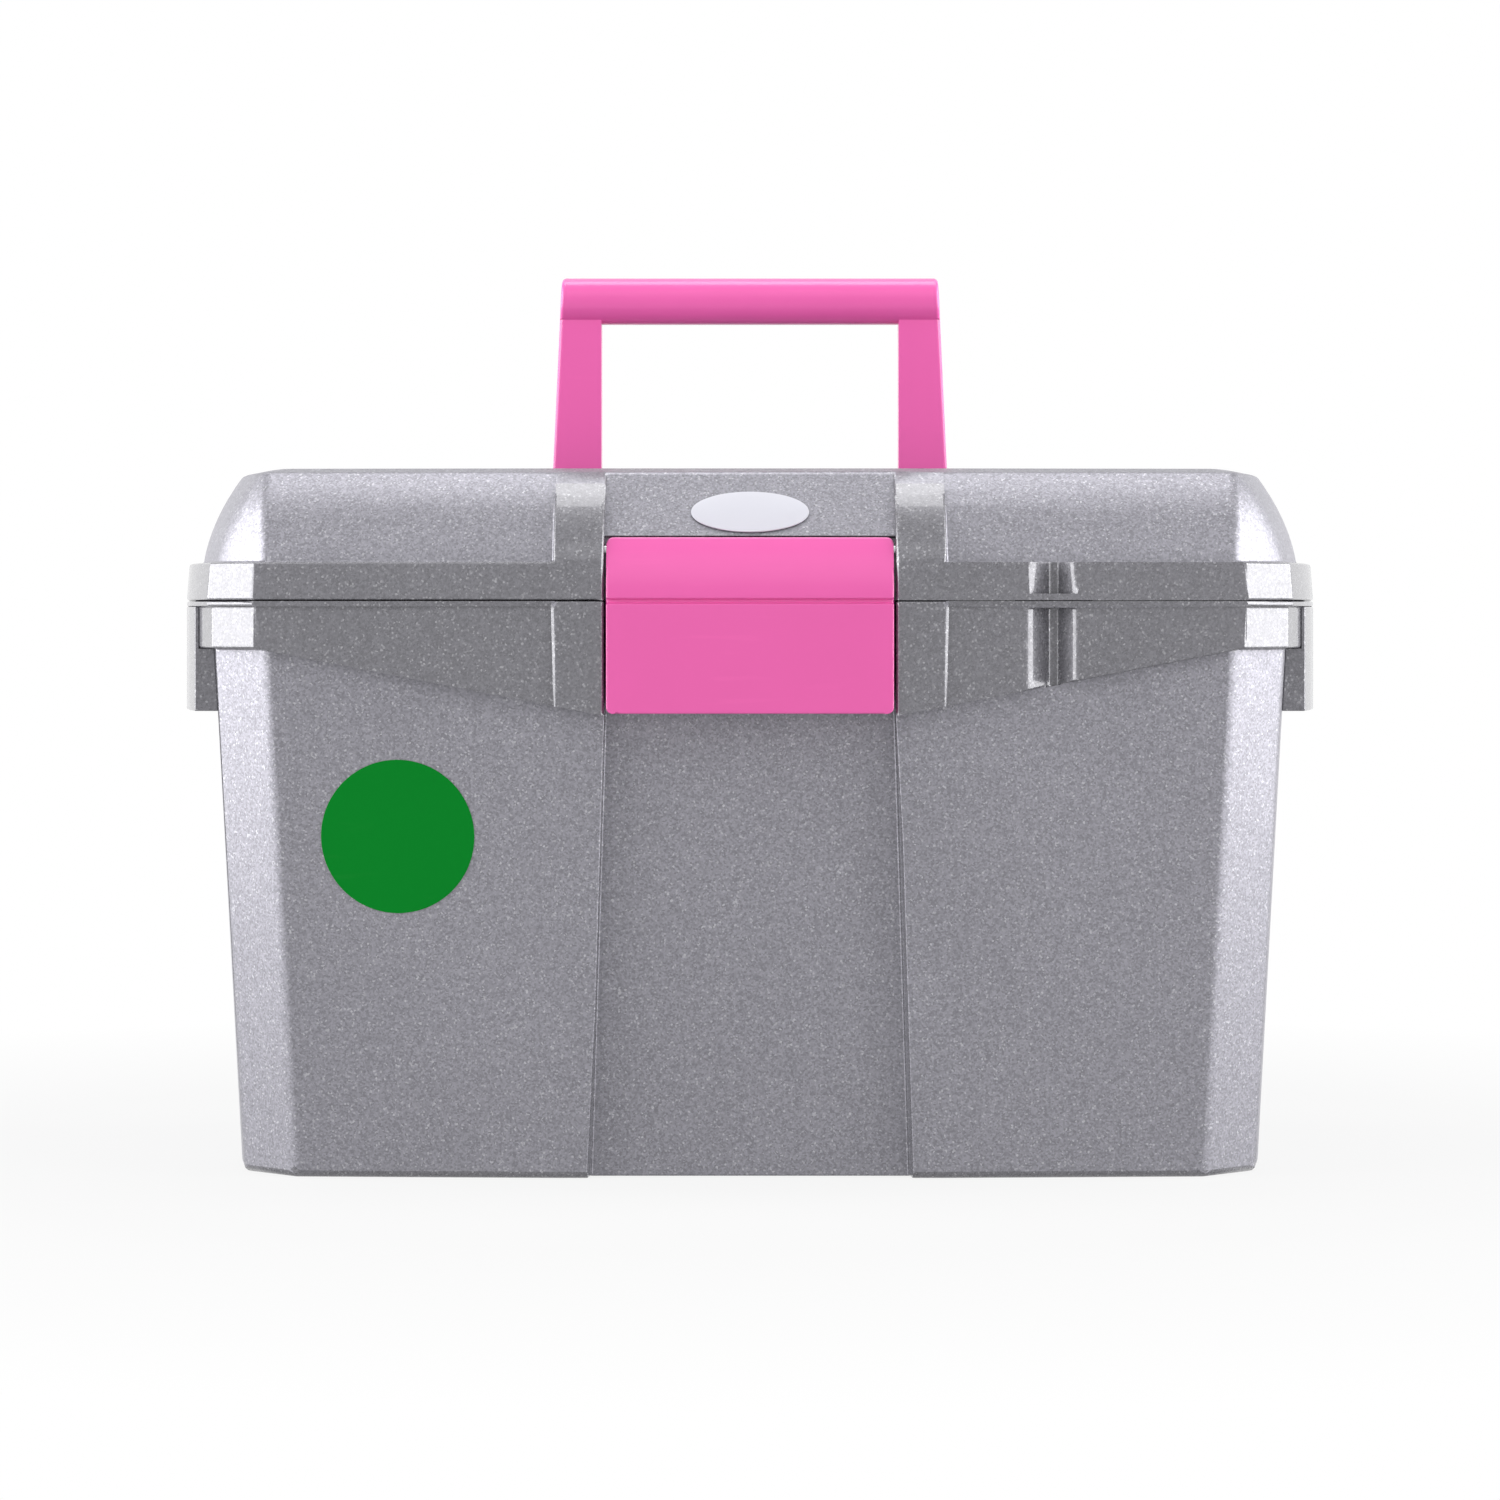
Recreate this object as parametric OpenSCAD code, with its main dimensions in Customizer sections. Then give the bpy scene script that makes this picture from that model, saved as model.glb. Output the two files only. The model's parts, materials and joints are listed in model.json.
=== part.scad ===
// Horse grooming box: a tapered tub with a hinged lid, a folding carry handle,
// a wide front latch and a lift-out tray. Front faces -Y, origin at the bottom centre.

/* [Box] */
// Overall width across the rim at mid-depth
box_w = 400; // [360:1:440]
// Overall depth, latch face to the back of the hinge
box_d = 240; // [220:1:260]
// Height of the parting plane between tub and lid
parting_z = 195.5; // [180:0.5:215]
// Height of the lid above the parting plane
lid_rise = 45.5; // [42:0.5:52]
// Wall thickness of tub and lid
wall = 2.6; // [2:0.1:3]
// Gap between tub and lid at the parting plane
parting_gap = 0.3; // [0.2:0.1:0.5]

/* [Plan outline] */
// Distance from the rim's widest place in to the crease where its front meets the corner facet
rim_corner = 32.5; // [31:0.5:36]
// How far the front recedes from its flat middle to the corner crease
front_bow = 4.7; // [2:0.1:7]
// How far the rim's side recedes from mid-depth to the corner facet
side_bow = 15.5; // [14:0.5:17]
// Rim front set back from the latch face
rim_setback = 1; // [0.5:0.1:1.5]

/* [Tub] */
// Set-back of the tub front below the rim
body_in_front = 6; // [5.5:0.1:8]
// Set-back of the tub side below the rim at mid-depth
body_in_side = 11.5; // [10:0.1:14]
// Set-back of the tub's corner crease below the rim
body_in_crease = 3.5; // [2:0.1:5]
// Side bow of the tub below the rim
body_bow = 6; // [4:0.5:8]
// Inward taper of the tub from the ledge to the floor
draft = 9.2; // [6:0.1:12]
// Tub floor thickness
floor_t = 3; // [2.4:0.1:5]
// Depth of the hollow under the floor
foot_h = 1.4; // [0.8:0.1:1.8]
// Width of the foot ring round the hollow
foot_w = 16; // [10:1:24]
// Radius of the tub's bottom edge
edge_r = 2.4; // [1:0.1:4]

/* [Rim band] */
// Height of the tray ledge below the parting plane
band_h = 13.4; // [11:0.1:18]
// Set-back of the tub's rim band from the bead
band_in = 1.5; // [1:0.1:2]
// Thickness of the bead at the top of the tub
bead_t = 1.8; // [1.2:0.1:2.4]
// Height of the locating lip above the parting plane
lip_h = 3; // [2:0.1:4]
// Thickness of the locating lip
lip_t = 1.8; // [1.4:0.1:2.2]
// Clearance between the locating lip and the lid
lip_gap = 0.5; // [0.4:0.1:0.8]
// Thickness of the hanging skirts
skirt_t = 2.4; // [2:0.1:3]
// Depth of the skirts below the parting plane
skirt_drop = 38.5; // [34:0.5:44]
// Half length of each side grip
grip_half = 70; // [55:1:78]

/* [Front recess] */
// Half width between the cheeks
recess_half = 49; // [44:0.5:54]
// Width of each cheek
cheek_w = 17; // [13:0.5:20]
// Half width of the recess at the floor
recess_half_low = 58; // [54:0.5:64]
// Slope width of the recess sides at the floor
recess_slope = 4; // [1:0.1:6]
// Recess depth behind the tub front at the ledge
recess_depth = 7.5; // [6:0.1:9]
// Extra recess depth at the floor
recess_more = 1; // [0:0.1:2]

/* [Lid] */
// Height of the lid's rim band
lid_band_h = 12.8; // [11:0.1:15]
// Inward lean of the lid's rim band
lid_band_lean = 1; // [0.5:0.1:1.5]
// Width of the ledge round the dome at the front
ledge_front = 7; // [6.5:0.1:9]
// Width of the ledge round the dome at the sides
ledge_side = 6; // [5:0.1:8]
// Horizontal run of the dome at the front
dome_run_front = 22; // [18:0.5:24]
// Horizontal run of the dome at the sides
dome_run_side = 13.5; // [10:0.5:15]
// Side bow of the dome
dome_bow = 13; // [11:0.5:14]
// Distance from the rim's widest place in to the dome's corner crease
dome_corner = 35; // [34:0.5:39]
// Crown of the flat top above the crest
crown = 1.6; // [1:0.1:2.4]
// Width of the rounded crest
crest_w = 7; // [4:0.5:10]
// Lean of the dome from vertical where it starts, in degrees
dome_lean = 9; // [4:1:15]

/* [Handle] */
// Height of the grip's top above the lid
handle_rise = 70; // [62:1:80]
// Grip height
grip_h = 16.5; // [14:0.5:19]
// Grip depth, front to back
grip_d = 19; // [17:0.5:22]
// Half of the clear width between the arms
arm_gap_half = 53; // [48:0.5:58]
// Half width of the handle at the top
handle_half_top = 66.8; // [64:0.1:69]
// Half width of the handle at the pivot
handle_half_foot = 71.4; // [69:0.1:74]
// Arm thickness
arm_t = 12; // [10:0.5:14]
// Depth of the pivot below the lid top
pivot_drop = 10.5; // [10:0.1:12]
// Place of the handle from the middle, front to back
handle_y = -6; // [-12:1:-4]
// Handle pin radius
handle_pin_r = 2.5; // [2:0.1:3]
// Clearance of the handle in its pocket
pocket_gap = 1.6; // [1.2:0.1:2]

/* [Latch] */
// Height of the latch's top above the parting plane
latch_up = 21.5; // [20:0.5:23]
// Side clearance between latch and cheeks
latch_gap = 0.7; // [0.5:0.1:1]
// Latch plate thickness
latch_t = 2.6; // [2.2:0.1:3]
// How far the latch's top curves back
latch_curve = 8.2; // [7:0.1:9]
// Depth of the latch's side flanges
latch_d = 9.2; // [8:0.1:10]
// Latch barrel radius
barrel_r = 3.4; // [3.2:0.1:3.8]
// Latch pin radius
latch_pin_r = 1.5; // [1.2:0.1:1.7]
// Depth of the groove across the latch
groove_d = 1.3; // [0.4:0.1:1.5]
// Height of the groove across the latch
groove_h = 1.5; // [0.8:0.1:2]
// Corner radius of the latch plate
latch_corner = 2.2; // [1.6:0.1:2.6]
// Gap between the latch's hook and the catch
hook_gap = 0.4; // [0.3:0.1:0.8]
// Half width of the catch
catch_half = 32; // [20:1:40]

/* [Hinge] */
// Hinge knuckle radius
knuckle_r = 3.7; // [3.4:0.1:4]
// Hinge pin radius
hinge_pin_r = 1.5; // [1.2:0.1:1.8]
// Distance from the rim's corner crease in to each hinge
hinge_in = 63.5; // [50:0.5:75]
// Length of one knuckle
knuckle_l = 16; // [12:0.5:20]
// Gap between knuckles
knuckle_gap = 0.4; // [0.3:0.1:0.6]
// Radial clearance of a pin in its bore
pin_gap = 0.05; // [0.02:0.01:0.08]

/* [Padlock eye] */
// Distance from the rim's corner crease in to the eye
eye_in = 65.2; // [55:0.1:72]
// Half width of the notch's mouth
notch_r = 8.2; // [7.5:0.1:9]
// Depth of the notch
notch_d = 6.9; // [6.8:0.1:8]
// Radius of the notch's rounded bottom
notch_round = 3; // [2.5:0.1:3.5]
// Eye hole radius
eye_r = 2.6; // [2.2:0.1:2.8]
// Eye plate thickness
eye_t = 2.2; // [1.8:0.1:2.8]

/* [Tray] */
// Tray depth below its flange
tray_h = 46; // [30:1:70]
// Tray wall thickness
tray_wall = 2; // [1.6:0.1:2.4]
// Clearance round the tray
tray_gap = 1; // [0.8:0.1:1.4]
// Height of the tray's grip above its flange
tray_grip_h = 9; // [5:0.5:12]
// Length of the tray's hand slot
slot_l = 92; // [80:1:110]
// Height of the tray's hand slot
slot_h = 24; // [18:1:30]
// Place of the tray's dividers from the middle
cross_x = 70; // [60:1:90]
// Clearance round the tray's dividers
divider_gap = 0.3; // [0.2:0.1:0.6]
// Depth of the grooves that hold the tray's dividers
divider_in = 1; // [0.6:0.1:1.4]

/* [Labels] */
// Badge width
badge_w = 40; // [30:1:60]
// Badge height
badge_h = 18; // [12:0.5:20]
// Badge thickness
badge_t = 1; // [0.6:0.1:1.6]
// Round label radius
label_r = 26; // [15:1:32]
// Round label thickness
label_t = 0.4; // [0.3:0.1:0.8]
// Distance from the tub's corner crease in to the round label's centre
label_in = 45; // [36:1:60]
// Round label's height
label_z = 116; // [70:1:125]

/* [Hidden] */

$fn = 64;
over = 5;
arc_steps = 10;
dome_steps = 8;
edge_steps = 3;
facet_share = tan(22.5);
silver = [0.57, 0.57, 0.6];
pink = [0.93, 0.41, 0.69];
steel = [0.75, 0.76, 0.78];

// Rim outline and where it stands
knuckle_clear = 0.8;
hinge_y = box_d / 2 - knuckle_r;
hinge_z = parting_z + parting_gap / 2;
rim_back = hinge_y - knuckle_r - knuckle_clear;
rim_front = -box_d / 2 + rim_setback;
mid_y = (rim_front + rim_back) / 2;
rim_half_w = box_w / 2;
rim_crease = rim_half_w - rim_corner;
dome_crease = rim_half_w - dome_corner;
hinge_x = rim_crease - hinge_in;
eye_x = rim_crease - eye_in;
rim_half_d = (rim_back - rim_front) / 2;
flat_half = recess_half + cheek_w;

// Heights
ledge_z = parting_z - band_h;
band_low = ledge_z - wall;
skirt_low = parting_z - skirt_drop;
lid_low = parting_z + parting_gap;
lid_top = parting_z + lid_rise;
dome_low = lid_low + lid_band_h;
crest_z = lid_top - crown;

// Tub below the rim
body_half_w = rim_half_w - body_in_side;
body_half_d = rim_half_d - body_in_front;
body_crease = rim_crease - body_in_crease;
label_x = body_crease - label_in;
body_front = mid_y - body_half_d;

// Latch, its pivot and the recess behind it
latch_front = -box_d / 2;
latch_low = skirt_low + latch_gap;
latch_top = parting_z + latch_up;
latch_pivot_y = latch_front + latch_curve;
barrel_drop = 0.9;
latch_pivot_z = latch_top - barrel_r - barrel_drop;
latch_sweep = barrel_r + latch_t;
panel_y = latch_pivot_y + latch_sweep;
panel_lip = 2.4;
catch_t = 3;
latch_pin_in = 8;
latch_pin_out = 9;

// Handle pivot and pocket
pivot_z = lid_top - pivot_drop;
handle_top = lid_top + handle_rise;
handle_len = handle_top - pivot_z;
pocket_half = handle_half_foot + pocket_gap;
pocket_front = handle_y - arm_t / 2 - pocket_gap;
pocket_back = handle_y + handle_len + pocket_gap;
pocket_floor = pivot_z - grip_d / 2 - pocket_gap / 2;
boss_r = handle_pin_r + wall;
boss_l = 5;
handle_pin_l = handle_half_foot - arm_gap_half + pocket_gap + wall + boss_l;

// Tray seat
tray_flange_t = 2.2;
tray_seat = ledge_z + parting_gap;
tray_top = tray_seat + tray_flange_t;
tray_low = tray_seat - tray_h;
tray_flange_in = 1.4;
web_t = knuckle_r - pin_gap;
root_share = 0.7;
badge_share = 0.36;
label_gap = 0.06;
dome_flat_share = 0.34;

// A value between two others
function mix(a, b, t) = a + (b - a) * t;

// Plan outline: flat middle, angled front, corner facet and bowed side, mirrored both ways
function outline(half_w, half_d, crease, bow) =
    let (corner = half_w - bow - crease,
         run = half_d - front_bow - corner,
         front = [[flat_half, -half_d], [crease, -half_d + front_bow]],
         side = [for (i = [0:arc_steps]) let (t = 2 * i / arc_steps - 1)
                 [half_w - bow * t * t, run * t]],
         back = [[crease, half_d - front_bow], [flat_half, half_d]],
         right = concat(front, side, back),
         n = len(right))
    [for (p = concat(right, [for (i = [1:n]) [-right[n - i].x, right[n - i].y]]))
        [p.x, p.y + mid_y]];

// Rim outline pulled in by an even inset
function rim_ring(inset) = outline(rim_half_w - inset, rim_half_d - inset,
                                   rim_crease - inset * facet_share, side_bow);

// Tub outline at a height, pulled in by an even inset
function body_ring(z, inset) =
    let (taper = draft * (1 - z / ledge_z))
    outline(body_half_w - taper - inset, body_half_d - taper - inset,
            body_crease - taper - inset * facet_share, body_bow);

// Dome outline at a share of its rise: both runs follow arcs that lean further as they climb
function dome_ring(share, inset) =
    outline(rim_half_w - ledge_side - dome_in(dome_run_side, share) - inset,
            rim_half_d - ledge_front - dome_in(dome_run_front, share) - inset,
            dome_crease - inset, dome_bow);
function dome_in(run, share) =
    let (rise = crest_z - dome_low,
         start = tan(dome_lean) * rise)
    start * share + (run - start) * share * share;

// Front face of the rim at a distance from the middle
function front_y(x) = rim_front + front_bow * max(0, abs(x) - flat_half) / (rim_crease - flat_half);

// Lower edge of the front skirt at a distance from the middle
function skirt_edge(x) = mix(skirt_low, band_low, (x - recess_half) / (rim_crease - recess_half));

// Recess plane and half width at a height
function recess_y(z) = body_front + recess_depth + (draft + recess_more) * (1 - z / ledge_z);
function recess_w(z) = z > skirt_low ? recess_half : mix(recess_half_low, recess_half, z / skirt_low);
function recess_ring(z, grow) =
    let (w = recess_w(z) + grow, y = recess_y(z) + grow, front = latch_front - over,
         slope = recess_slope * max(0, 1 - z / skirt_low))
    [[-w, front], [w, front], [w - slope, y], [-w + slope, y]];

// Solid through a stack of outlines that all have the same number of points
module loft(rings, heights) {
    n = len(rings[0]);
    last = len(rings) - 1;
    points = [for (k = [0:last]) for (p = rings[k]) [p.x, p.y, heights[k]]];
    sides = [for (k = [0:last - 1]) for (i = [0:n - 1])
             let (a = k * n + i, b = k * n + (i + 1) % n)
             each [[a, b + n, b], [a, a + n, b + n]]];
    bottom = [[for (i = [0:n - 1]) i]];
    top = [[for (i = [0:n - 1]) last * n + n - 1 - i]];
    polyhedron(points, concat(bottom, sides, top));
}

// Prism of a rim outline between two heights
module rim_prism(inset, low, high) {
    translate([0, 0, low]) linear_extrude(high - low) polygon(rim_ring(inset));
}

// Box given by two opposite corners
module block(low, high) {
    translate(low) cube(high - low);
}

// Round bar along X between two places
module bar_x(r, from, to, y, z) {
    translate([from, y, z]) rotate([0, 90, 0]) cylinder(r = r, h = to - from);
}

// Prism along X of a profile in the YZ plane
module prism_x(profile, from, to) {
    translate([from, 0, 0]) rotate([90, 0, 90]) linear_extrude(to - from) polygon(profile);
}

// Prism along Y of a profile in the XZ plane
module prism_y(profile, from, to) {
    translate([0, to, 0]) rotate([90, 0, 0]) linear_extrude(to - from) polygon(profile);
}

// A piece and its mirror image across the middle
module both_sides() {
    children();
    mirror([1, 0, 0]) children();
}

// Front recess that runs up the tub, grown by a wall for the inside
module tub_recess(grow) {
    heights = [-over, skirt_low, ledge_z, lid_top];
    loft([for (z = heights) recess_ring(z, grow)], heights);
}

// Column round the padlock notch
module eye_column(r, low, high) {
    translate([eye_x, front_y(eye_x), low]) cylinder(r = r, h = high - low);
}

// Padlock notch: two sloping flanks that meet in a rounded bottom, set back by an inset
module eye_notch(inset, low, high) {
    middle = notch_d - notch_round;
    slope = atan2(middle, notch_r) + asin(notch_round / norm([notch_r, middle]));
    mouth = notch_r + over / tan(slope);
    bottom = [for (i = [0:dome_steps]) let (a = slope * (1 - 2 * i / dome_steps))
              [notch_round * sin(a), middle + notch_round * cos(a)]];
    translate([eye_x, front_y(eye_x) + inset, low]) linear_extrude(high - low)
        polygon(concat([[-mouth, -over], [mouth, -over]], bottom));
}

module eye_hole() {
    translate([eye_x, front_y(eye_x) + notch_r / 2, lid_low - over])
        cylinder(r = eye_r, h = over * 2);
}

// Region of the front skirt: its lower edge climbs from the cheeks to the corners
module skirt_region(from, to, high) {
    edge = [for (x = [from, to]) [x, skirt_edge(x)]];
    prism_y([edge[0], edge[1], [to, high], [from, high]], rim_front - over, mid_y);
}

module front_skirt() {
    both_sides() {
        intersection() {
            difference() {
                rim_prism(band_in, skirt_low, ledge_z);
                rim_prism(band_in + skirt_t, skirt_low - over, ledge_z + over);
            }
            skirt_region(recess_half - recess_slope, rim_crease, ledge_z);
        }
        intersection() {
            difference() {
                rim_prism(0, skirt_low, parting_z);
                rim_prism(band_in + skirt_t, skirt_low - over, parting_z + over);
            }
            skirt_region(recess_half - recess_slope, flat_half, parting_z);
        }
    }
}

// Side grip: a hanging skirt under the bead, with closed ends and room for the fingers behind it
module side_grip(side) color(silver) mirror([side < 0 ? 1 : 0, 0, 0]) difference() {
    low = skirt_low + latch_gap;
    intersection() {
        rim_prism(0, low, parting_z - bead_t);
        block([body_crease, mid_y - grip_half, low], [rim_half_w + over, mid_y + grip_half, parting_z]);
    }
    rim_prism(band_in, band_low, parting_z);
    tub_body();
    translate([0, 0, low - over]) linear_extrude(band_low - low + over) intersection() {
        polygon(rim_ring(skirt_t));
        translate([0, mid_y - grip_half + skirt_t]) square([rim_half_w, (grip_half - skirt_t) * 2]);
    }
}

// Catch on the tub behind the latch
module latch_catch() {
    top = latch_low + latch_t + hook_gap + catch_t;
    reach = latch_front + latch_d - hook_gap;
    profile = [[recess_y(skirt_low) + wall / 2, top + catch_t], [reach, top], [reach, top - catch_t],
               [recess_y(skirt_low) + wall / 2, top - catch_t]];
    prism_x(profile, -catch_half, catch_half);
}

// Hinge knuckles: the tub takes the outer two of each hinge, the lid the middle one
module knuckles(places, below) {
    low = below ? hinge_z - web_t : lid_low;
    high = below ? parting_z : hinge_z + web_t;
    for (side = [-1, 1], place = places) {
        from = side * (hinge_x + place * (knuckle_l + knuckle_gap)) - knuckle_l / 2;
        root = max(abs(from), abs(from + knuckle_l));
        bar_x(knuckle_r, from, from + knuckle_l, hinge_y, hinge_z);
        block([from, rim_back - front_y(root) + rim_front - wall * root_share, low],
              [from + knuckle_l, hinge_y, high]);
    }
}

module knuckle_bores() {
    span = knuckle_l * 2;
    for (side = [-1, 1])
        bar_x(hinge_pin_r + pin_gap, side * hinge_x - span, side * hinge_x + span, hinge_y, hinge_z);
}

// Tapered tub with a rounded bottom edge, up to the ledge
module tub_body() {
    turns = [for (i = [0:edge_steps]) 90 * i / edge_steps];
    heights = concat([for (a = turns) edge_r * (1 - cos(a))], [ledge_z]);
    insets = concat([for (a = turns) edge_r * (1 - sin(a))], [0]);
    loft([for (i = [0:len(heights) - 1]) body_ring(heights[i], insets[i])], heights);
}

module tub_outside() {
    tub_body();
    rim_prism(band_in, band_low, parting_z);
    rim_prism(0, parting_z - bead_t, parting_z);
    front_skirt();
    intersection() {
        block([eye_x - notch_r - wall, rim_front - over, skirt_low],
              [eye_x + notch_r + wall, front_y(eye_x) + notch_r, parting_z]);
        rim_prism(band_in, skirt_low, parting_z);
        skirt_region(recess_half, rim_crease, parting_z);
    }
}

// Inside of the tub, with the recess and the eye column standing into it
module tub_inside() {
    difference() {
        union() {
            loft([body_ring(floor_t, wall), body_ring(ledge_z, wall)], [floor_t, ledge_z]);
            rim_prism(band_in + wall, ledge_z, parting_z + over);
        }
        tub_recess(wall);
        eye_column(notch_r + wall, 0, parting_z + over);
    }
}

// Locating lip inside the lid, kept clear of the recess and the eye
module locating_lip() {
    inset = band_in + wall - lip_t + lip_gap;
    difference() {
        rim_prism(inset + lip_gap, ledge_z, parting_z + lip_h);
        rim_prism(inset + lip_t + lip_gap, ledge_z - over, parting_z + lip_h + over);
        block([-recess_half - wall * 2, rim_front - over, 0], [recess_half + wall * 2, 0, lid_top]);
        eye_column(notch_r + wall * 2, 0, lid_top);
    }
}

module base_tub() color(silver) difference() {
    union() {
        difference() {
            tub_outside();
            tub_recess(0);
            tub_inside();
            translate([0, 0, -over]) linear_extrude(foot_h + over) polygon(body_ring(0, foot_w));
            intersection() {
                eye_notch(band_in, skirt_low, parting_z - eye_t);
                translate([0, 0, -parting_gap]) skirt_region(recess_half, rim_crease, parting_z);
            }
        }
        locating_lip();
        latch_catch();
        knuckles([-1, 1], true);
    }
    eye_hole();
    knuckle_bores();
}

// Lid outside: rim band, ledge, dome and crowned top
module lid_outside() {
    dome = [for (i = [0:dome_steps]) dome_ring(i / dome_steps, 0)];
    dome_z = [for (i = [0:dome_steps]) mix(dome_low, crest_z, i / dome_steps)];
    rings = concat([rim_ring(0), rim_ring(lid_band_lean)], dome, [dome_ring(1, crest_w)]);
    loft(rings, concat([lid_low, dome_low], dome_z, [lid_top]));
}

module lid_inside() {
    dome = [for (i = [0:dome_steps]) dome_ring(i / dome_steps, wall)];
    dome_z = [for (i = [0:dome_steps]) mix(dome_low, crest_z, i / dome_steps) - wall];
    rings = concat([rim_ring(wall), rim_ring(lid_band_lean + wall)], dome);
    loft(rings, concat([lid_low - over, dome_low - wall], dome_z));
}

// Profile of the centre panel and the latch bay below it, grown by a wall for the inside
function panel_profile(grow) =
    let (front = latch_front - over,
         bay_top = latch_top + parting_gap * 2,
         crest_y = mid_y - rim_half_d + ledge_front + dome_run_front)
    [[front, lid_low - over], [panel_y + grow, lid_low - over], [panel_y + grow, bay_top + grow],
     [panel_y - panel_lip + grow, bay_top + grow], [crest_y + grow, crest_z],
     [crest_y + grow, lid_top + over], [front, lid_top + over]];

// Ribs that flank the centre panel and run from the crest to the rim face
module lid_ribs() {
    run = ledge_front + dome_run_front - lid_band_lean;
    arc = [for (i = [0:dome_steps]) let (t = i / dome_steps)
           [rim_front + lid_band_lean + run * (t * dome_flat_share + t * t * (1 - dome_flat_share)),
            mix(dome_low, crest_z, t)]];
    back = rim_front + ledge_front + dome_run_front;
    profile = concat(arc, [[back + wall, crest_z], [back, dome_low]]);
    both_sides() prism_x(profile, recess_half, flat_half);
}

module lid_pocket(grow) {
    block([-pocket_half - grow, pocket_front - grow, pocket_floor - grow],
          [pocket_half + grow, pocket_back + grow, lid_top + over]);
}

// Bosses that carry the handle pins outside the pocket
module handle_bosses() {
    both_sides() {
        bar_x(boss_r, pocket_half, pocket_half + wall + boss_l, handle_y, pivot_z);
        block([pocket_half, handle_y - boss_r, pivot_z],
              [pocket_half + wall + boss_l, handle_y + boss_r, crest_z]);
    }
}

// Bosses in the latch bay's side walls that carry the latch pins
module latch_bosses() {
    low = latch_pivot_z - barrel_r;
    both_sides() block([recess_half, rim_front + ledge_front, low],
                       [recess_half + latch_pin_out + wall, panel_y + wall, latch_pivot_z + barrel_r]);
}

module lid_shell() color(silver) difference() {
    union() {
        difference() {
            union() {
                lid_outside();
                lid_ribs();
            }
            difference() {
                lid_inside();
                prism_x(panel_profile(wall), -recess_half - wall, recess_half + wall);
                lid_pocket(wall);
                eye_column(notch_r + wall, 0, lid_top);
                handle_bosses();
                latch_bosses();
            }
            prism_x(panel_profile(0), -recess_half, recess_half);
            lid_pocket(0);
            eye_notch(0, lid_low + eye_t, lid_top);
        }
        knuckles([0], false);
    }
    eye_hole();
    knuckle_bores();
    both_sides() {
        bar_x(handle_pin_r + pin_gap, pocket_half - over, pocket_half + wall + boss_l + over,
              handle_y, pivot_z);
        bar_x(latch_pin_r + pin_gap, recess_half - over, recess_half + latch_pin_out,
              latch_pivot_y, latch_pivot_z);
    }
}

// Handle: a grip bar on two arms that widen towards the pivots
module carry_handle() color(pink) translate([0, handle_y, 0]) difference() {
    intersection() {
        union() {
            rotate([90, 0, 90]) translate([0, handle_top - grip_h / 2, -pocket_half])
                linear_extrude(pocket_half * 2) grip_section();
            both_sides() {
                block([arm_gap_half, -arm_t / 2, pivot_z],
                      [pocket_half, arm_t / 2, handle_top - grip_h / 2]);
                bar_x(arm_t / 2, arm_gap_half, pocket_half, 0, pivot_z);
            }
        }
        prism_y([[-handle_half_foot, pivot_z - arm_t], [handle_half_foot, pivot_z - arm_t],
                 [handle_half_top, handle_top + over], [-handle_half_top, handle_top + over]],
                -grip_d, grip_d);
    }
    bar_x(handle_pin_r + pin_gap, -pocket_half - over, pocket_half + over, 0, pivot_z);
}

// Grip section: two half rounds joined by a flat
module grip_section() {
    half = (grip_d - grip_h) / 2;
    for (y = [-half, half]) translate([y, 0]) circle(d = grip_h);
    square([half * 2, grip_h], center = true);
}

// Front face of the latch: upright below the groove, curving back above it
function latch_face(inset) =
    concat([[latch_front + inset, latch_low]],
           [for (i = [0:dome_steps]) let (t = i / dome_steps)
            [latch_front + inset + latch_curve * t * t, mix(parting_z, latch_top, t)]]);

// Outline of the latch from the front, with rounded corners
function latch_outline(half) =
    let (turns = [for (i = [0:dome_steps]) 90 * i / dome_steps],
         side = concat([for (a = turns) [half, latch_low] + latch_corner * [sin(a) - 1, 1 - cos(a)]],
                       [for (a = turns) [half, latch_top] + latch_corner * [cos(a) - 1, sin(a) - 1]]),
         n = len(side))
    concat(side, [for (i = [1:n]) [-side[n - i].x, side[n - i].y]]);

module front_latch() color(pink) {
    half = recess_half - latch_gap;
    back = latch_front + latch_d;
    face = latch_face(0);
    behind = latch_face(latch_t);
    n = len(behind);
    plate = concat(face, [for (i = [1:n]) behind[n - i]]);
    flange_top = latch_pivot_z;
    flange = concat([for (p = face) if (p.y < flange_top) p],
                    [[back, flange_top], [back, latch_low]]);
    barrel_half = half - latch_corner;
    room = concat(latch_face(latch_t / 2), [[back + over, latch_top], [back + over, latch_low]]);
    difference() {
        union() {
            intersection() {
                union() {
                    prism_x(plate, -half, half);
                    both_sides() prism_x(flange, half - latch_t, half);
                    block([-half, latch_front, latch_low],
                          [half, back - hook_gap * 2, latch_low + latch_t]);
                }
                prism_y(latch_outline(half), latch_front - over, mid_y);
            }
            intersection() {
                union() {
                    bar_x(barrel_r, -barrel_half, barrel_half, latch_pivot_y, latch_pivot_z);
                    bar_x(barrel_r + barrel_drop - latch_corner, -half, half,
                          latch_pivot_y, latch_pivot_z);
                }
                prism_x(room, -half - over, half + over);
            }
        }
        block([-half - over, latch_front - over, parting_z - groove_h / 2],
              [half + over, latch_front + groove_d, parting_z + groove_h / 2]);
        both_sides() bar_x(latch_pin_r + pin_gap, half - latch_pin_in, half + over,
                           latch_pivot_y, latch_pivot_z);
    }
}

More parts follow.
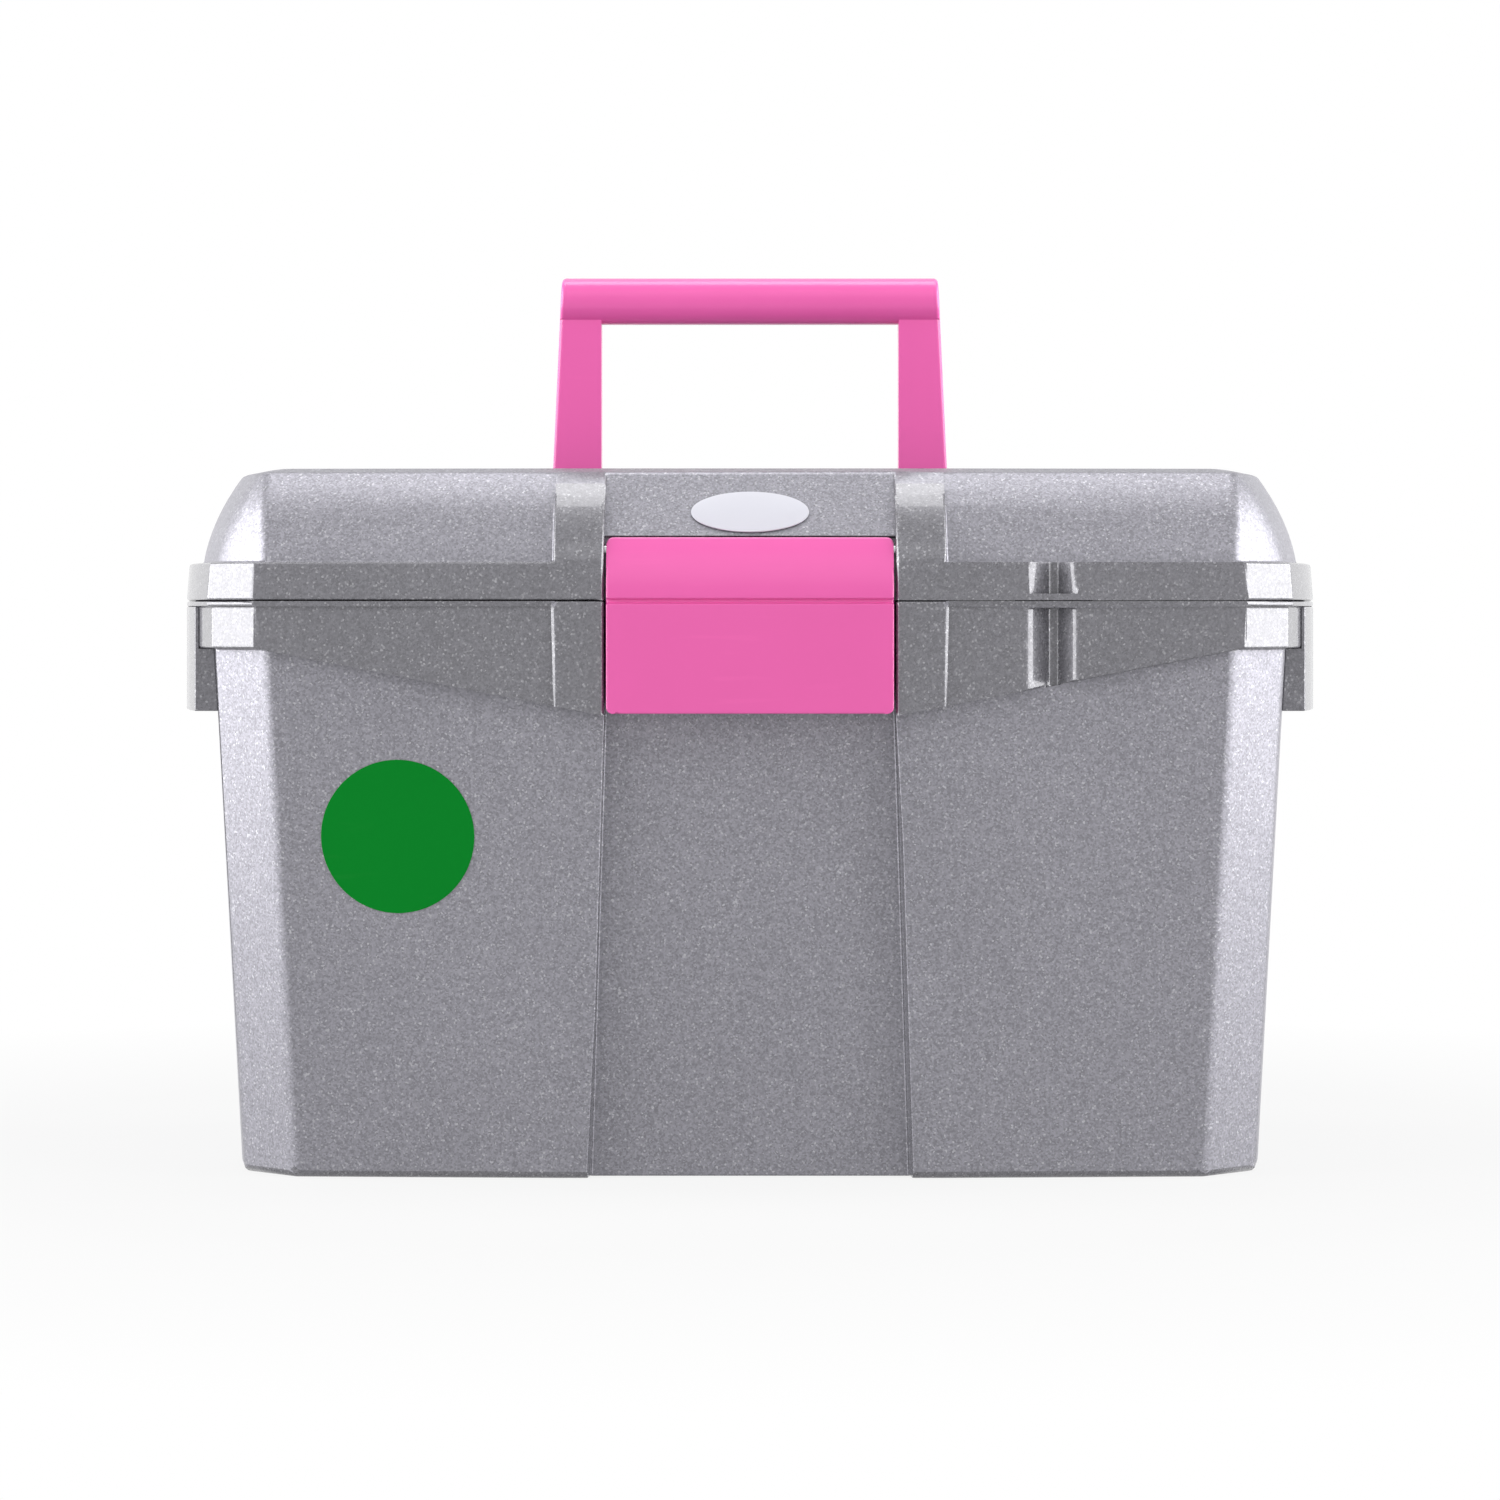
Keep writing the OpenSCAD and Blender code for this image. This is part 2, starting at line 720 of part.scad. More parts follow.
// Space inside the tray's walls, drawn in by a gap
module tray_space(gap) {
    inset = wall + tray_gap + tray_wall + gap;
    difference() {
        loft([body_ring(tray_low, inset), body_ring(tray_top, inset)],
             [tray_low + tray_wall + gap, tray_top + over]);
        tub_recess(inset);
        eye_column(notch_r + inset, 0, lid_top);
    }
}

// Tray: hangs by its flange on the tub's ledge, with a hand grip along the middle
module insert_tray() color(silver) difference() {
    union() {
        difference() {
            union() {
                loft([body_ring(tray_low, wall + tray_gap), body_ring(tray_seat, wall + tray_gap)],
                     [tray_low, tray_seat]);
                rim_prism(band_in + wall + tray_flange_in, tray_seat, tray_top);
            }
            difference() {
                tray_space(0);
                block([-box_w, -tray_wall, tray_low], [box_w, tray_wall, tray_top - tray_wall]);
            }
        }
        prism_y([[-cross_x, tray_top - tray_wall * 2], [cross_x, tray_top - tray_wall * 2],
                 [cross_x - tray_grip_h, tray_top + tray_grip_h],
                 [-cross_x + tray_grip_h, tray_top + tray_grip_h]], -tray_wall, tray_wall);
    }
    tub_recess(wall + tray_gap);
    eye_column(notch_r + wall + tray_gap, 0, lid_top);
    slot_z = tray_top + tray_grip_h - tray_wall * 4;
    block([-slot_l / 2, -tray_wall * 2, slot_z - slot_h], [slot_l / 2, tray_wall * 2, slot_z]);
    half = tray_wall / 2 + divider_gap;
    for (x = [-cross_x, cross_x], side = [0, 1]) mirror([0, side, 0])
        block([x - half, tray_wall - divider_in, tray_low + tray_wall],
              [x + half, tray_wall + over, tray_top]);
}

// Dividers: four plates that stand in grooves of the tray's middle wall
module tray_dividers() color(silver) {
    end = tray_wall - divider_in + divider_gap;
    for (x = [-cross_x, cross_x], side = [0, 1]) intersection() {
        tray_space(divider_gap);
        mirror([0, side, 0]) block([x - tray_wall / 2, end, tray_low],
                                   [x + tray_wall / 2, box_d, tray_top - tray_wall * 2]);
    }
}

// Pins: steel rods that sit in the bores of both pieces they join
module hinge_pin(side) color(steel) {
    half = knuckle_l * 3 / 2 + knuckle_gap;
    bar_x(hinge_pin_r, side * hinge_x - half, side * hinge_x + half, hinge_y, hinge_z);
}

module handle_pin(side) color(steel) {
    mirror([side < 0 ? 1 : 0, 0, 0])
        bar_x(handle_pin_r, arm_gap_half, arm_gap_half + handle_pin_l, handle_y, pivot_z);
}

module latch_pin(side) color(steel) {
    half = recess_half - latch_gap;
    mirror([side < 0 ? 1 : 0, 0, 0])
        bar_x(latch_pin_r, half - latch_pin_in + pin_gap, recess_half + latch_pin_out - pin_gap,
              latch_pivot_y, latch_pivot_z);
}

// Badge: an oval plate on the sloping centre panel above the latch
module oval_badge() color("white") {
    low = [panel_y - panel_lip, latch_top + parting_gap * 2];
    high = [mid_y - rim_half_d + ledge_front + dome_run_front, crest_z];
    lean = atan((high.x - low.x) / (high.y - low.y));
    middle = mix(low, high, badge_share);
    translate([0, middle.x, middle.y]) rotate([90 - lean, 0, 0])
        linear_extrude(badge_t) scale([1, badge_h / badge_w]) circle(d = badge_w, $fn = 96);
}

// Round label, flat on the left front panel
module round_label() color([0.01, 0.45, 0.12]) {
    top = [-flat_half, body_front, ledge_z];
    side = [-body_crease, body_front + front_bow, ledge_z];
    foot = [draft - body_crease, body_front + front_bow + draft, 0];
    out = cross(foot - side, top - side);
    level = (top - [-label_x, 0, label_z]) * out / out.y;
    translate([-label_x, level, label_z])
        rotate([0, acos(out.z / norm(out)), atan2(out.y, out.x)])
            translate([0, 0, label_gap]) cylinder(r = label_r, h = label_t);
}

base_tub();
side_grip(-1);  // side_grip_left
side_grip(1);  // side_grip_right
lid_shell();
carry_handle();
front_latch();
insert_tray();
tray_dividers();
hinge_pin(-1);  // hinge_pin_left
hinge_pin(1);  // hinge_pin_right
handle_pin(-1);  // handle_pin_left
handle_pin(1);  // handle_pin_right
latch_pin(-1);  // latch_pin_left
latch_pin(1);  // latch_pin_right
oval_badge();
round_label();
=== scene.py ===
"""Horse grooming box: moulded finishes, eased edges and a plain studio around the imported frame."""

from __future__ import annotations

import json
import logging
import math
from dataclasses import dataclass, field
from enum import Enum
from itertools import combinations
from typing import Any, Literal, Sequence

import bmesh
import bpy
from mathutils import Matrix, Vector
from mathutils.bvhtree import BVHTree
from mathutils.geometry import intersect_point_line

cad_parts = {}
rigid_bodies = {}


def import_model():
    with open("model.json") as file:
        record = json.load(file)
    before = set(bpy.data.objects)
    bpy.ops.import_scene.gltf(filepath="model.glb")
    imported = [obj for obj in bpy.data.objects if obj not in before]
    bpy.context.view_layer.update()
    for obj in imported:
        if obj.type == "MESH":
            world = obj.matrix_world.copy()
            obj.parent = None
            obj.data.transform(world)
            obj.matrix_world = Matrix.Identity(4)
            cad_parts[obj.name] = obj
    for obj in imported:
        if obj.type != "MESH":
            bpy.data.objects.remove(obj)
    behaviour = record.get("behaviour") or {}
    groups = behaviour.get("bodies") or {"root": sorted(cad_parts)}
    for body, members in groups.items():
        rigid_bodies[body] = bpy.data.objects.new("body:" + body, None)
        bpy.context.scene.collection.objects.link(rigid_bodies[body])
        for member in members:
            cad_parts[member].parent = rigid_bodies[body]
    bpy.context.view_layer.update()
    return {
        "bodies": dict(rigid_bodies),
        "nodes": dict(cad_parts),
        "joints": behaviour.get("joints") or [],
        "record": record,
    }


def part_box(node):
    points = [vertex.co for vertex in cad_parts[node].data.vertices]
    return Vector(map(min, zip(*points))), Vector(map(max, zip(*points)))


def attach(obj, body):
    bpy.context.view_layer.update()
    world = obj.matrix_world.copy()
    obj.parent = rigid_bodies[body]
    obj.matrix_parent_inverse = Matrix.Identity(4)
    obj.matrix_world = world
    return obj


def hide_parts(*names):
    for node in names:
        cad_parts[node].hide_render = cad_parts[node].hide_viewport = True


log = logging.getLogger("grooming_box")

PHOTO_PIXELS = 1500
MM = 0.001
NODE_SPACING = 190
ROUND_PROFILE = 0.5
NOISE_SPAN = (0.3, 0.7)
STRENGTH_LAYER = "__mod_weightednormals_faceweight"
NORMAL_LAYER = "custom_normal"
GRAINED = "grained"
SOURCE = "source"

Colour = tuple[float, float, float, float]
Place = tuple[float, float, float]
Socket = bpy.types.NodeSocket
Shape = bmesh.types.BMesh
Edge = bmesh.types.BMEdge
Face = bmesh.types.BMFace
Frame = dict[str, Any]

WHITE: Colour = (1.0, 1.0, 1.0, 1.0)


class Body(str, Enum):
    """Rigid bodies of the box."""

    BASE = "base"
    LID = "lid"
    HANDLE = "handle"
    LATCH = "latch"
    TRAY = "tray"


class Slot(str, Enum):
    """Material slots of the record."""

    SILVER = "silver_plastic"
    TRAY = "tray_plastic"
    PINK = "pink_plastic"
    STEEL = "steel"
    WHITE = "white_plastic"
    GREEN = "green_vinyl"


class Group(str, Enum):
    """Shader node groups that several finishes share."""

    FLAKE = "Metal flake"
    GRAIN = "Moulded grain"
    SCUFF = "Handling scuffs"


def linear(red: int, green: int, blue: int) -> Colour:
    """Turns a display colour into the scene's linear colour.

    Args:
        red: Red, 0 to 255.
        green: Green, 0 to 255.
        blue: Blue, 0 to 255.

    Returns:
        The linear colour with full alpha.
    """

    def channel(value: int) -> float:
        """Decodes one channel."""
        share = value / 255
        return share / 12.92 if share <= 0.04045 else ((share + 0.055) / 1.055) ** 2.4

    return channel(red), channel(green), channel(blue), 1.0


class NodeSheet:
    """A node tree that is filled from left to right."""

    def __init__(self, tree: bpy.types.NodeTree) -> None:
        """Starts on an empty tree.

        Args:
            tree: The tree to fill.
        """
        self.tree = tree
        self.column = 0
        tree.nodes.clear()

    def add(self, kind: str, inputs: dict[Any, Any] | None = None, **settings: Any) -> bpy.types.Node:
        """Adds a node, sets its properties and fills or links its inputs.

        Args:
            kind: The node's type name.
            inputs: Input socket names or numbers, each with a value or a socket to link from.
            **settings: Properties of the node.

        Returns:
            The new node.
        """
        node = self.tree.nodes.new(kind)
        node.location = (self.column * NODE_SPACING, 0)
        self.column += 1
        for name, value in settings.items():
            setattr(node, name, value)
        for name, value in (inputs or {}).items():
            self.feed(node.inputs[name], value)
        return node

    def feed(self, socket: Socket, value: Any) -> None:
        """Links a socket from another, or sets its value."""
        if isinstance(value, Socket):
            self.tree.links.new(value, socket)
        else:
            socket.default_value = value

    def math(self, operation: str, first: Any, second: Any = 0.0, clamp: bool = False) -> Socket:
        """Adds a maths node and returns its result."""
        node = self.add("ShaderNodeMath", {0: first, 1: second}, operation=operation, use_clamp=clamp)
        return node.outputs[0]

    def spread(self, value: Any, low: float, high: float, to_low: float, to_high: float) -> Socket:
        """Adds a clamped range change and returns its result."""
        ends = {"From Min": low, "From Max": high, "To Min": to_low, "To Max": to_high}
        return self.add("ShaderNodeMapRange", {"Value": value, **ends}).outputs["Result"]

    def noise(self, place: Socket, scale: Any, detail: float = 2.0) -> Socket:
        """Adds a noise texture and returns its value."""
        inputs = {"Vector": place, "Scale": scale, "Detail": detail}
        return self.add("ShaderNodeTexNoise", inputs).outputs["Fac"]

    def bump(self, height: Socket, strength: float, reach: float) -> Socket:
        """Adds a bump and returns its normal."""
        inputs = {"Height": height, "Strength": strength, "Distance": reach}
        return self.add("ShaderNodeBump", inputs).outputs[0]

    def mix_colour(self, factor: Any, first: Any, second: Any, blend: str = "MIX") -> Socket:
        """Adds a colour mix and returns its result."""
        node = self.add("ShaderNodeMix", data_type="RGBA", blend_type=blend)
        for name, value in (("Factor_Float", factor), ("A_Color", first), ("B_Color", second)):
            self.feed(next(s for s in node.inputs if s.identifier == name), value)
        return next(s for s in node.outputs if s.identifier == "Result_Color")

    def lightened(self, colour: Colour, light: Socket) -> Socket:
        """Multiplies a colour by a value that changes over the surface."""
        level = self.add("ShaderNodeCombineColor", {0: light, 1: light, 2: light})
        return self.mix_colour(1.0, colour, level.outputs[0], "MULTIPLY")


class SharedGroups:
    """Builds each shared node group once."""

    FINE_DETAIL = 3.0
    SPARKLE_FROM = 0.9
    MOTTLES_PER_METRE = 16.0
    SCUFF_TURN = (0.3, 0.5, 0.7)
    SCUFF_SCALE = (40.0, 900.0, 320.0)
    HAIR_SPAN = (0.64, 0.72)
    PATCH_SPAN = (0.5, 0.7)
    PATCHES_PER_METRE = 11.0

    def __init__(self) -> None:
        """Builds all the groups."""
        self.groups = {
            Group.FLAKE: self._flake(),
            Group.GRAIN: self._grain(),
            Group.SCUFF: self._scuff(),
        }

    def place(self, sheet: NodeSheet, group: Group, inputs: dict[str, Any]) -> bpy.types.Node:
        """Places a group in a material.

        Args:
            sheet: The material's sheet.
            group: Which group.
            inputs: Input names, each with a value or a socket to link from.

        Returns:
            The group node.
        """
        return sheet.add("ShaderNodeGroup", inputs, node_tree=self.groups[group])

    @staticmethod
    def _open(group: Group, inputs: Sequence[str], outputs: Sequence[str]) -> tuple[NodeSheet, Any]:
        """Starts a group with a Vector input and the given values.

        Args:
            group: Which group.
            inputs: Names of the value inputs.
            outputs: Names of the value outputs.

        Returns:
            The group's sheet and the sockets of its inputs.
        """
        tree = bpy.data.node_groups.new(group.value, "ShaderNodeTree")
        tree.interface.new_socket("Vector", in_out="INPUT", socket_type="NodeSocketVector")
        for way, names in (("INPUT", inputs), ("OUTPUT", outputs)):
            for name in names:
                tree.interface.new_socket(name, in_out=way, socket_type="NodeSocketFloat")
        sheet = NodeSheet(tree)
        return sheet, sheet.add("NodeGroupInput").outputs

    def _flake(self) -> bpy.types.NodeTree:
        """Pigment flakes: each cell has its own lightness, and a few sparkle."""
        inputs, outputs = ("Cells per metre", "Contrast"), ("Lightness", "Sparkle", "Tilt")
        sheet, given = self._open(Group.FLAKE, inputs, outputs)
        cells = sheet.add(
            "ShaderNodeTexVoronoi", {"Vector": given["Vector"], "Scale": given["Cells per metre"]}
        )
        parts = sheet.add("ShaderNodeSeparateColor", {"Color": cells.outputs["Color"]})
        swing = sheet.math("SUBTRACT", parts.outputs[0], 0.5)
        change = sheet.math("MULTIPLY", swing, given["Contrast"])
        lightness = sheet.math("ADD", change, 1.0)
        sparkle = sheet.spread(parts.outputs[1], self.SPARKLE_FROM, 1.0, 0.0, 1.0)
        sheet.add("NodeGroupOutput", {"Lightness": lightness, "Sparkle": sparkle, "Tilt": parts.outputs[2]})
        return sheet.tree

    def _grain(self) -> bpy.types.NodeTree:
        """Spark-eroded mould grain with a broad, faint mottle."""
        sheet, given = self._open(Group.GRAIN, ("Grains per metre",), ("Height", "Mottle"))
        grain = sheet.noise(given["Vector"], given["Grains per metre"])
        mottle = sheet.noise(given["Vector"], self.MOTTLES_PER_METRE, self.FINE_DETAIL)
        sheet.add("NodeGroupOutput", {"Height": grain, "Mottle": mottle})
        return sheet.tree

    def _scuff(self) -> bpy.types.NodeTree:
        """Faint hairline scuffs from handling, in patches."""
        sheet, given = self._open(Group.SCUFF, ("Amount",), ("Mask",))
        turn = {"Vector": given["Vector"], "Rotation": self.SCUFF_TURN, "Scale": self.SCUFF_SCALE}
        turned = sheet.add("ShaderNodeMapping", turn)
        lines = sheet.noise(turned.outputs[0], 1.0, 1.0)
        hair = sheet.spread(lines, *self.HAIR_SPAN, 0.0, 1.0)
        patch = sheet.noise(given["Vector"], self.PATCHES_PER_METRE)
        where = sheet.spread(patch, *self.PATCH_SPAN, 0.0, 1.0)
        shown = sheet.math("MULTIPLY", hair, where)
        sheet.add("NodeGroupOutput", {"Mask": sheet.math("MULTIPLY", shown, given["Amount"])})
        return sheet.tree


@dataclass(frozen=True)
class Finish:
    """A surface finish with its own procedural material."""

    name: str
    colour: Colour
    roughness: float

    def material(self, shared: SharedGroups) -> bpy.types.Material:
        """Builds the material.

        Args:
            shared: The shared node groups.

        Returns:
            The finished material.
        """
        made = bpy.data.materials.new(self.name)
        made.use_nodes = True
        sheet = NodeSheet(made.node_tree)
        place = sheet.add("ShaderNodeTexCoord").outputs["Object"]
        shader = self.shade(sheet, shared, place)
        sheet.add("ShaderNodeOutputMaterial", {"Surface": shader.outputs[0]})
        return made

    def shade(self, sheet: NodeSheet, shared: SharedGroups, place: Socket) -> bpy.types.Node:
        """Adds the nodes that make the finish and returns its shader."""
        raise NotImplementedError


@dataclass(frozen=True)
class FlakePlastic(Finish):
    """Moulded plastic with silver pigment flakes: polished, or grained where the mould is textured."""

    metallic: float = 0.75
    polished_metallic: float = 0.32
    cells_per_metre: float = 1700.0
    contrast: float = 0.45
    sparkle: float = 0.25
    grain_depth: float = 0.12
    # Pigment lightness on polished faces: painted shade for the darker look of their gloss.
    polished_painted_shade: float = 0.62
    polished_roughness: float = 0.3
    coat_roughness: float = 0.07
    coat_most: float = 0.7
    mottle: tuple[float, float] = (0.97, 1.03)
    glint: Colour = (0.9, 0.9, 0.93, 1.0)
    tilt_rough: float = 0.06
    tilt_height: float = 0.5
    bump_reach: float = 0.15 * MM
    scuff_amount: float = 0.5
    scuff_rough: float = 0.12
    scuff_dull: float = 0.3

    def shade(self, sheet: NodeSheet, shared: SharedGroups, place: Socket) -> bpy.types.Node:
        """Adds flakes, mould grain, the gloss of the polished zones with their painted shade, and faint
        scuffs.
        """
        grained = sheet.add("ShaderNodeAttribute", attribute_name=GRAINED).outputs["Fac"]
        density = self.cells_per_metre
        cells = {"Vector": place, "Cells per metre": density, "Contrast": self.contrast}
        flake = shared.place(sheet, Group.FLAKE, cells)
        grain = shared.place(sheet, Group.GRAIN, {"Vector": place, "Grains per metre": density})
        scuff = shared.place(sheet, Group.SCUFF, {"Vector": place, "Amount": self.scuff_amount})
        mottle = sheet.spread(grain.outputs["Mottle"], *NOISE_SPAN, *self.mottle)
        # Polished faces get a darker pigment. This is painted shade standing in for how their gloss looks
        # darker under these lamps. Their lower roughness and stronger coat are real.
        painted_polish_shade = sheet.spread(grained, 0.0, 1.0, self.polished_painted_shade, 1.0)
        pigment = sheet.math("MULTIPLY", flake.outputs["Lightness"], mottle)
        tinted = sheet.lightened(self.colour, sheet.math("MULTIPLY", pigment, painted_polish_shade))
        glint = sheet.math("MULTIPLY", flake.outputs["Sparkle"], self.sparkle)
        colour = sheet.mix_colour(glint, tinted, self.glint)
        skin = sheet.spread(grained, 0.0, 1.0, self.polished_roughness, self.roughness)
        swing = sheet.spread(flake.outputs["Tilt"], 0.0, 1.0, -self.tilt_rough, self.tilt_rough)
        varied = sheet.math("ADD", skin, swing)
        rubbed = sheet.math("MULTIPLY", scuff.outputs["Mask"], self.scuff_rough)
        worn = sheet.math("ADD", varied, rubbed)
        tilt = sheet.math("MULTIPLY", flake.outputs["Tilt"], self.tilt_height)
        rise = sheet.math("ADD", grain.outputs["Height"], tilt)
        height = sheet.math("MULTIPLY", rise, grained)
        bump = sheet.bump(height, self.grain_depth, self.bump_reach)
        dulled = sheet.math("MULTIPLY", scuff.outputs["Mask"], self.scuff_dull)
        glossy = sheet.spread(grained, 0.0, 1.0, self.coat_most, 0.0)
        metal = sheet.spread(grained, 0.0, 1.0, self.polished_metallic, self.metallic)
        return sheet.add(
            "ShaderNodeBsdfPrincipled",
            {
                "Base Color": colour,
                "Roughness": worn,
                "Metallic": metal,
                "Normal": bump,
                "Coat Weight": sheet.math("SUBTRACT", glossy, dulled, clamp=True),
                "Coat Roughness": self.coat_roughness,
            },
        )


@dataclass(frozen=True)
class SatinPlastic(Finish):
    """Solid-coloured moulded plastic with a satin skin."""

    coat: float = 0.15
    grain_depth: float = 0.1
    specular: float = 0.5
    grains_per_metre: float = 2200.0
    darkest: float = 0.965
    pale_gain: float = 1.2
    pale_lift: float = 0.06
    rough_spread: float = 0.04
    bump_reach: float = 0.1 * MM
    coat_roughness: float = 0.15
    scuff_amount: float = 0.7
    scuff_pale: float = 0.12
    scuff_rough: float = 0.12

    def shade(self, sheet: NodeSheet, shared: SharedGroups, place: Socket) -> bpy.types.Node:
        """Adds fine mould grain, a faint mottle and scuffs."""
        density = self.grains_per_metre
        grain = shared.place(sheet, Group.GRAIN, {"Vector": place, "Grains per metre": density})
        scuff = shared.place(sheet, Group.SCUFF, {"Vector": place, "Amount": self.scuff_amount})
        shade = sheet.spread(grain.outputs["Mottle"], *NOISE_SPAN, self.darkest, 1.0)
        tinted = sheet.lightened(self.colour, shade)
        rubbed = sheet.math("MULTIPLY", scuff.outputs["Mask"], self.scuff_pale)
        lighter = (min(1.0, value * self.pale_gain + self.pale_lift) for value in self.colour[:3])
        colour = sheet.mix_colour(rubbed, tinted, (*lighter, 1.0))
        smooth, coarse = self.roughness - self.rough_spread, self.roughness + self.rough_spread
        rough = sheet.spread(grain.outputs["Mottle"], *NOISE_SPAN, smooth, coarse)
        dulled = sheet.math("MULTIPLY", scuff.outputs["Mask"], self.scuff_rough)
        worn = sheet.math("ADD", rough, dulled)
        bump = sheet.bump(grain.outputs["Height"], self.grain_depth, self.bump_reach)
        return sheet.add(
            "ShaderNodeBsdfPrincipled",
            {
                "Base Color": colour,
                "Roughness": worn,
                "Specular IOR Level": self.specular,
                "Normal": bump,
                "Coat Weight": self.coat,
                "Coat Roughness": self.coat_roughness,
            },
        )


@dataclass(frozen=True)
class DrawnSteel(Finish):
    """Drawn wire with fine streaks along its length."""

    streaks: Place = (40.0, 3000.0, 3000.0)
    smoother: float = 0.08
    rougher: float = 0.1
    darkest: float = 0.85

    def shade(self, sheet: NodeSheet, shared: SharedGroups, place: Socket) -> bpy.types.Node:
        """Adds draw marks along X."""
        drawn = sheet.add("ShaderNodeMapping", {"Vector": place, "Scale": self.streaks})
        marks = sheet.noise(drawn.outputs[0], 1.0, shared.FINE_DETAIL)
        smooth, coarse = self.roughness - self.smoother, self.roughness + self.rougher
        rough = sheet.spread(marks, *NOISE_SPAN, smooth, coarse)
        shade = sheet.spread(marks, *NOISE_SPAN, self.darkest, 1.0)
        colour = sheet.lightened(self.colour, shade)
        return sheet.add(
            "ShaderNodeBsdfPrincipled", {"Base Color": colour, "Roughness": rough, "Metallic": 1.0}
        )


@dataclass
class Finishes:
    """All the finishes of the box, each made on first use."""

    silver: Finish = FlakePlastic("Silver flake plastic", linear(136, 135, 142), 0.44)
    inside: Finish = FlakePlastic("Tray flake plastic", linear(140, 139, 146), 0.48, sparkle=0.15)
    pink: Finish = SatinPlastic("Pink satin plastic", linear(228, 90, 167), 0.36, coat=0.5, specular=0.4)
    white: Finish = SatinPlastic(
        "White gloss plate", linear(204, 204, 213), 0.22, coat=0.6, grain_depth=0.02
    )
    green: Finish = SatinPlastic(
        "Green label vinyl", linear(0, 123, 35), 0.5, coat=0.0, grain_depth=0.05, specular=0.08
    )
    steel: Finish = DrawnSteel("Drawn steel pin", (0.56, 0.57, 0.58, 1.0), 0.3)
    shared: SharedGroups = field(default_factory=SharedGroups)
    made: dict[str, bpy.types.Material] = field(default_factory=dict)

    def get(self, finish: Finish) -> bpy.types.Material:
        """Returns a finish's material."""
        if finish.name not in self.made:
            self.made[finish.name] = finish.material(self.shared)
        return self.made[finish.name]

    def for_slot(self, slot: Slot) -> bpy.types.Material:
        """Returns the material of a slot."""
        finishes = {
            Slot.SILVER: self.silver,
            Slot.TRAY: self.inside,
            Slot.PINK: self.pink,
            Slot.STEEL: self.steel,
            Slot.WHITE: self.white,
            Slot.GREEN: self.green,
        }
        return self.get(finishes[slot])


@dataclass(frozen=True)
class EdgeWork:
    """How a moulding's sharp edges are eased, in metres and degrees; near and beside count radii."""

    radius: float
    steps: int = 2
    sharp_deg: float = 24.0
    flat_deg: float = 0.05
    merge: float = 0.02 * MM
    tries: int = 16
    turned: float = 0.2
    doubt: float = 0.3
    speck: float = 0.01 * MM * MM
    near: float = 1.6
    beside: float = 2.0


def climbs(edge: Edge, share: float) -> bool:
    """Tells whether a convex edge rises by more than a share of its length."""
    first, second = (corner.co for corner in edge.verts)
    steep = abs(first.z - second.z) > share * (first - second).length
    return steep and edge.is_manifold and edge.is_convex


def middle_of(edge: Edge) -> Vector:
    """Returns the middle of an edge."""
    return (edge.verts[0].co + edge.verts[1].co) / 2


def to_triangles(shape: Shape) -> None:
    """Divides every face into well-shaped triangles."""
    bmesh.ops.triangulate(shape, faces=shape.faces, quad_method="BEAUTY", ngon_method="BEAUTY")


def round_edges(
    shape: Shape,
    edges: list[Edge],
    radius: float,
    steps: int,
    measure: Literal["OFFSET", "PERCENT"] = "OFFSET",
) -> None:
    """Rounds the given edges over.

    Args:
        shape: The mesh.
        edges: Its edges to round.
        radius: How far the rounding reaches on each side of an edge.
        steps: How many faces it has.
        measure: Whether the reach is a length or a percentage of the edges beside.
    """
    bmesh.ops.bevel(
        shape,
        geom=edges,
        offset=radius,
        offset_type=measure,
        segments=steps,
        profile=ROUND_PROFILE,
        affect="EDGES",
        clamp_overlap=False,
        material=-1,
        loop_slide=False,
        face_strength_mode="ALL",
    )


def mark_sharp(shape: Shape, plain_deg: float, strip_deg: float = 50.0) -> None:
    """Smooths every face and marks the edges that stay sharp.

    Args:
        shape: The shape, with the face strengths that its roundings left.
        plain_deg: Plain faces that meet at more than this angle keep a sharp edge.
        strip_deg: The same for an edge with the strip of a rounding beside it.
    """
    shape.normal_update()
    strength = shape.faces.layers.int.get(STRENGTH_LAYER)
    plain = {face for face in shape.faces if strength is None or face[strength] > 0}
    for face in shape.faces:
        face.smooth = True
    for edge in shape.edges:
        limit = plain_deg if plain.issuperset(edge.link_faces) else strip_deg
        edge.smooth = edge.calc_face_angle(0.0) < math.radians(limit)
    for corner in shape.verts:
        walls = [face.normal for face in corner.link_faces if face in plain]
        if any(one.angle(other, 0.0) > math.radians(plain_deg) for one, other in combinations(walls, 2)):
            for edge in corner.link_edges:
                if len({face in plain for face in edge.link_faces}) == 2:
                    edge.smooth = False


def placed(name: str, data: Any) -> bpy.types.Object:
    """Links a mesh, a lamp or a camera to the scene and returns its object."""
    made = bpy.data.objects.new(name, data)
    bpy.context.scene.collection.objects.link(made)
    return made


def finished_object(name: str, shape: Shape, smooth_deg: float = 32.0) -> bpy.types.Object:
    """Links a finished shape as a smooth-shaded object at the origin.

    Args:
        name: The object's name.
        shape: Its shape, which is freed.
        smooth_deg: Edges sharper than this stay sharp.

    Returns:
        The new object.
    """
    mesh = bpy.data.meshes.new(name)
    mark_sharp(shape, smooth_deg)
    shape.to_mesh(mesh)
    shape.free()
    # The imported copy's normals no longer fit the rounded shape.
    packed_normals = mesh.attributes.get(NORMAL_LAYER)
    if packed_normals is not None:
        mesh.attributes.remove(packed_normals)
    made = placed(name, mesh)
    even = made.modifiers.new("Even shading", "WEIGHTED_NORMAL")
    even.keep_sharp = True
    even.mode = "FACE_AREA_WITH_ANGLE"
    even.use_face_influence = True
    return made


def dress(piece: bpy.types.Object, material: bpy.types.Material) -> None:
    """Gives a piece one material."""
    piece.data.materials.clear()
    piece.data.materials.append(material)


